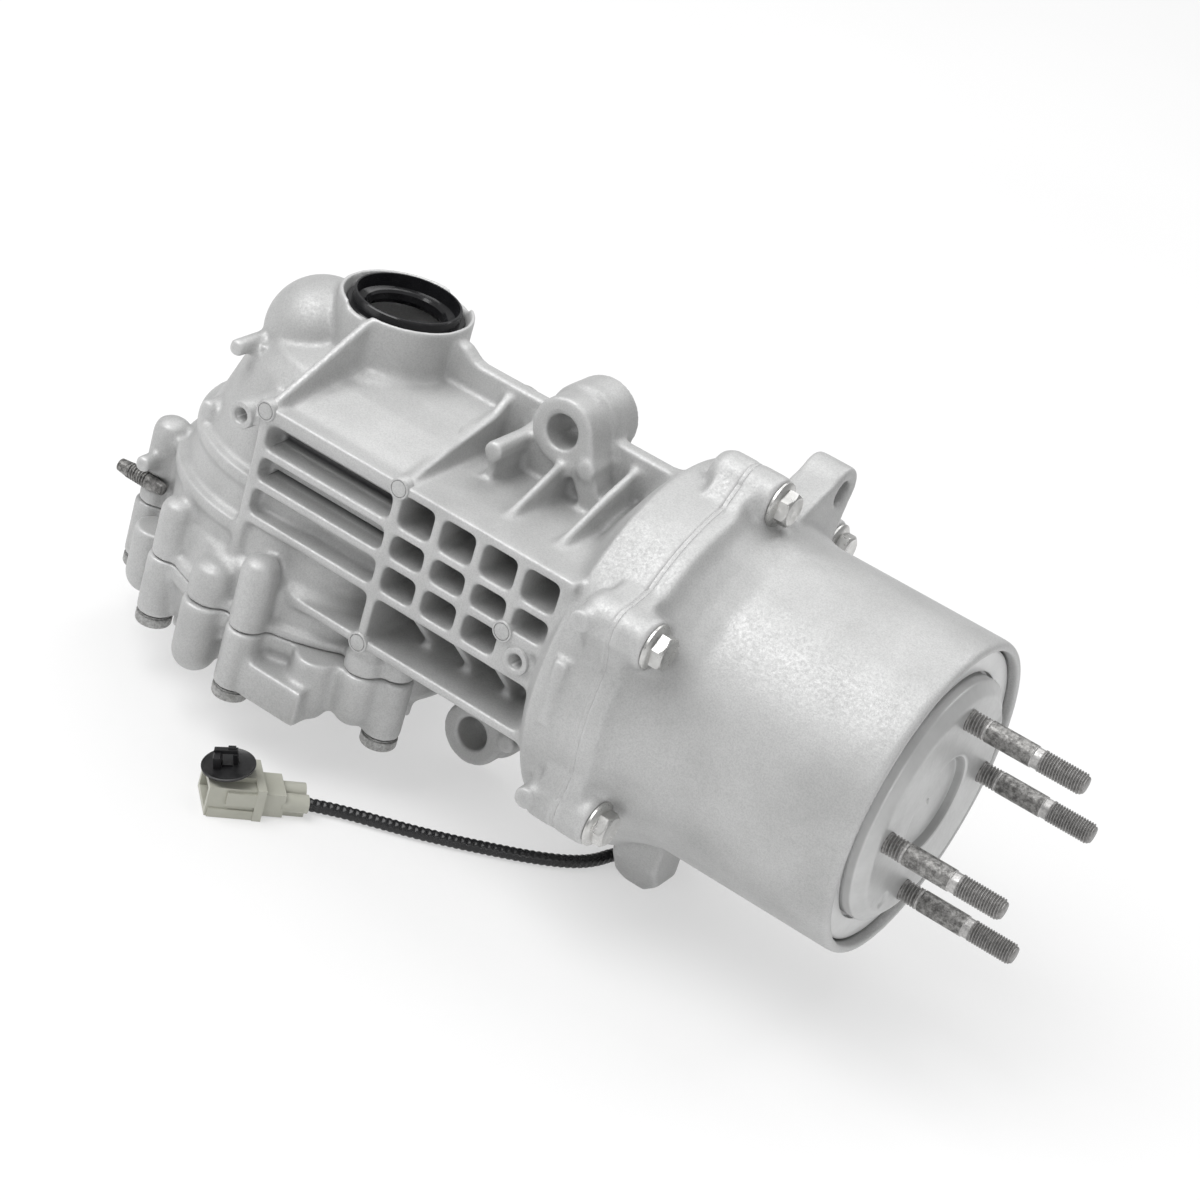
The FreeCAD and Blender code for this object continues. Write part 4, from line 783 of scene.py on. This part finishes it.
def route_points():
    """Points along the cord's axis, in the row's frame."""
    curve = bpy.data.curves.new("cord_route", "CURVE")
    curve.dimensions = "3D"
    curve.resolution_u = 24
    spline = curve.splines.new("NURBS")
    spline.points.add(len(CORD_ROUTE) - 1)
    for point, place in zip(spline.points, CORD_ROUTE):
        point.co = (*at(*place), 1)
    spline.order_u = 3
    spline.use_endpoint_u = True
    holder = bpy.data.objects.new("cord_route", curve)
    bpy.context.scene.collection.objects.link(holder)
    mesh = evaluated(holder)
    points = [v.co.copy() for v in mesh.vertices]
    bpy.data.objects.remove(holder)
    return points


def resample(points, step):
    """Points on a path at equal steps, with its last point."""
    spaced = [points[0]]
    carried = 0.0
    for a, b in zip(points[:-1], points[1:]):
        length = (b - a).length
        while carried + length >= step:
            t = (step - carried) / length
            a = a.lerp(b, t)
            spaced.append(a.copy())
            length = (b - a).length
            carried = 0.0
        carried += length
    spaced.append(points[-1])
    return spaced


def add_cord(materials):
    """Braided sleeve: a tube with two families of raised strands that cross."""
    path = route_points()
    spaced = resample(path, 0.55 * MM)
    rings = []
    side = None
    travelled = 0.0
    for k, point in enumerate(spaced):
        if k:
            travelled += (point - spaced[k - 1]).length
        ahead = (spaced[min(k + 1, len(spaced) - 1)] - spaced[max(k - 1, 0)]).normalized()
        if side is None:
            side = ahead.orthogonal().normalized()
        side = (side - ahead * side.dot(ahead)).normalized()
        other = ahead.cross(side)
        twist = travelled / MM * 2.1
        ring = []
        for a in round_turns(28):
            ridge = max(math.sin(3 * a + twist), math.sin(3 * a - twist))
            r = (CORD_R - 0.28 + 0.26 * ridge) * MM
            ring.append(point + side * (r * math.cos(a)) + other * (r * math.sin(a)))
        rings.append(ring)
    data = ring_mesh("harness_sleeve", rings)
    cord = new_object("harness_sleeve", data, materials["sleeve_black"])
    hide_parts("harness_cord")
    length = sum((b - a).length for a, b in zip(path[:-1], path[1:]))
    tuple(path[0])
    [tuple(p) for p in path]
    add_clip(materials["clip_plastic"])


def add_clip(material):
    """Round clip on the connector: a dished disc with a fin, a bar and a tab standing on it."""
    up = Vector((-0.155, -0.185, 0.970)).normalized()
    across = (Vector((0.831, 0.556, 0.0)) - up * up.dot(Vector((0.831, 0.556, 0.0)))).normalized()
    away = up.cross(across)
    centre = at(*CLIP_CENTRE)

    def place(u, v, w):
        return centre + (across * u + away * v + up * w) * MM

    profile = ((-3.6, 3.4), (-1.2, 3.6), (-1.0, 8.0), (-0.4, 11.4), (0.2, 12.0),
               (0.9, 12.0), (1.1, 11.5), (0.6, 10.6), (0.2, 8.0), (0.1, 3.0))
    rings = [[place(r * math.cos(a), r * math.sin(a), w) for a in round_turns(72)] for w, r in profile]
    parts = [ring_mesh("clip_disc", rings)]
    inset = 0.25
    boxes = (
        ((-6.3, -3.0), (-3.2, 3.6), (-0.2, 6.0)), ((-6.3, 4.0), (1.4, 4.0), (5.0, 7.2)),
        ((2.0, 4.0), (0.6, 3.6), (-0.2, 5.4)), ((-0.2, 3.2), (1.6, 3.6), (7.0, 8.4)),
        ((-2.8, 1.8), (-1.0, 0.2), (-0.2, 1.4)))
    for us, vs, ws in boxes:
        rings = []
        for w, shrink in ((ws[0], inset), (ws[0] + inset, 0), (ws[1] - inset, 0), (ws[1], inset)):
            rings.append([place(us[i] + shrink * (1 - 2 * i), vs[j] + shrink * (1 - 2 * j), w)
                          for i, j in ((0, 0), (1, 0), (1, 1), (0, 1))])
        parts.append(ring_mesh("clip_box", rings))
    data = joined("clip", [bpy.data.meshes.new("clip_start")] + parts)
    clip = new_object("clip", data, material, smooth=False)
    sharpened(clip, 32)
    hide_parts("connector_clip")
    return clip


# Floor and light

def floor_material():
    """Pale floor that the camera and reflections see half as plain white."""
    n = Nodes("floor")
    n.out("Base Color", n.ramp(n.noise(3, 2), (0.90, 0.90, 0.90), (0.93, 0.93, 0.93)))
    n.out("Roughness", 0.8)
    rays = n.new("LightPath")
    seen = n.math("MAXIMUM", rays.outputs["Is Camera Ray"], rays.outputs["Is Glossy Ray"])
    seen = n.math("MAXIMUM", seen, rays.outputs["Is Transmission Ray"])
    white = n.new("Emission")
    white.inputs["Color"].default_value = (1, 1, 1, 1)
    blend = n.new("MixShader")
    n.link(n.math("MULTIPLY", seen, 0.5), blend.inputs[0])
    n.link(n.shader.outputs[0], blend.inputs[1])
    n.link(white.outputs[0], blend.inputs[2])
    n.link(blend.outputs[0], n.tree.nodes["Material Output"].inputs["Surface"])
    return n.material


def add_stage():
    """Floor, even world light and three soft lamps."""
    mesh = bpy.data.meshes.new("floor")
    z = FLOOR_Z * MM - FLOOR_GAP
    corners = [(x * FLOOR_SIZE, y * FLOOR_SIZE, z) for x, y in ((-1, -1), (1, -1), (1, 1), (-1, 1))]
    mesh.from_pydata(corners, [], [(0, 1, 2, 3)])
    mesh.materials.append(floor_material())
    floor = bpy.data.objects.new("floor", mesh)
    bpy.context.scene.collection.objects.link(floor)
    world = bpy.data.worlds.new("studio")
    world.use_nodes = True
    background = world.node_tree.nodes["Background"]
    background.inputs["Color"].default_value = (1.0, 1.0, 1.0, 1)
    background.inputs["Strength"].default_value = WORLD_STRENGTH
    bpy.context.scene.world = world
    for name, place, size, power in LIGHTS:
        light = bpy.data.lights.new(name, "AREA")
        light.size = size
        light.energy = power
        obj = bpy.data.objects.new(name, light)
        obj.location = place
        aim = Vector(LIGHT_AIM) - Vector(place)
        obj.rotation_euler = aim.to_track_quat("-Z", "Y").to_euler()
        bpy.context.scene.collection.objects.link(obj)


def dress_nodes(materials):
    """Gives each node of the frame the material of its slot."""
    slots = {s["node"]: s["material_slot"] for s in frame["record"]["subparts"]}
    for node, obj in frame["nodes"].items():
        material = materials[slots[node]]
        if not obj.material_slots:
            obj.data.materials.append(material)
        for slot in obj.material_slots:
            slot.material = material


def main():
    bpy.context.scene.view_settings.view_transform = "Standard"
    add_camera()
    materials = make_materials()
    add_cord(materials)
    dress_nodes(materials)
    bevel(frame["nodes"]["connector_body"], 0.45, 3)
    bevel(frame["nodes"]["upper_output_seal"], 0.3, 2)
    cast = materials["cast_aluminium"]
    soft_casting(*CARRIER_SKIN, cast, chamber_rings(), panel_cutters())
    add_pads(materials["cast_plain"])
    add_joint_bead(materials["cast_plain"])
    for skin in COVER_SKINS:
        soft_casting(*skin, cast)
    add_all_bolts(materials["zinc_bolt"], materials["zinc_dull"])
    add_flange(materials)
    add_plate(materials["plate_paint"])
    add_studs(materials)
    add_breather(materials["stud_steel"])
    add_stage()


main()
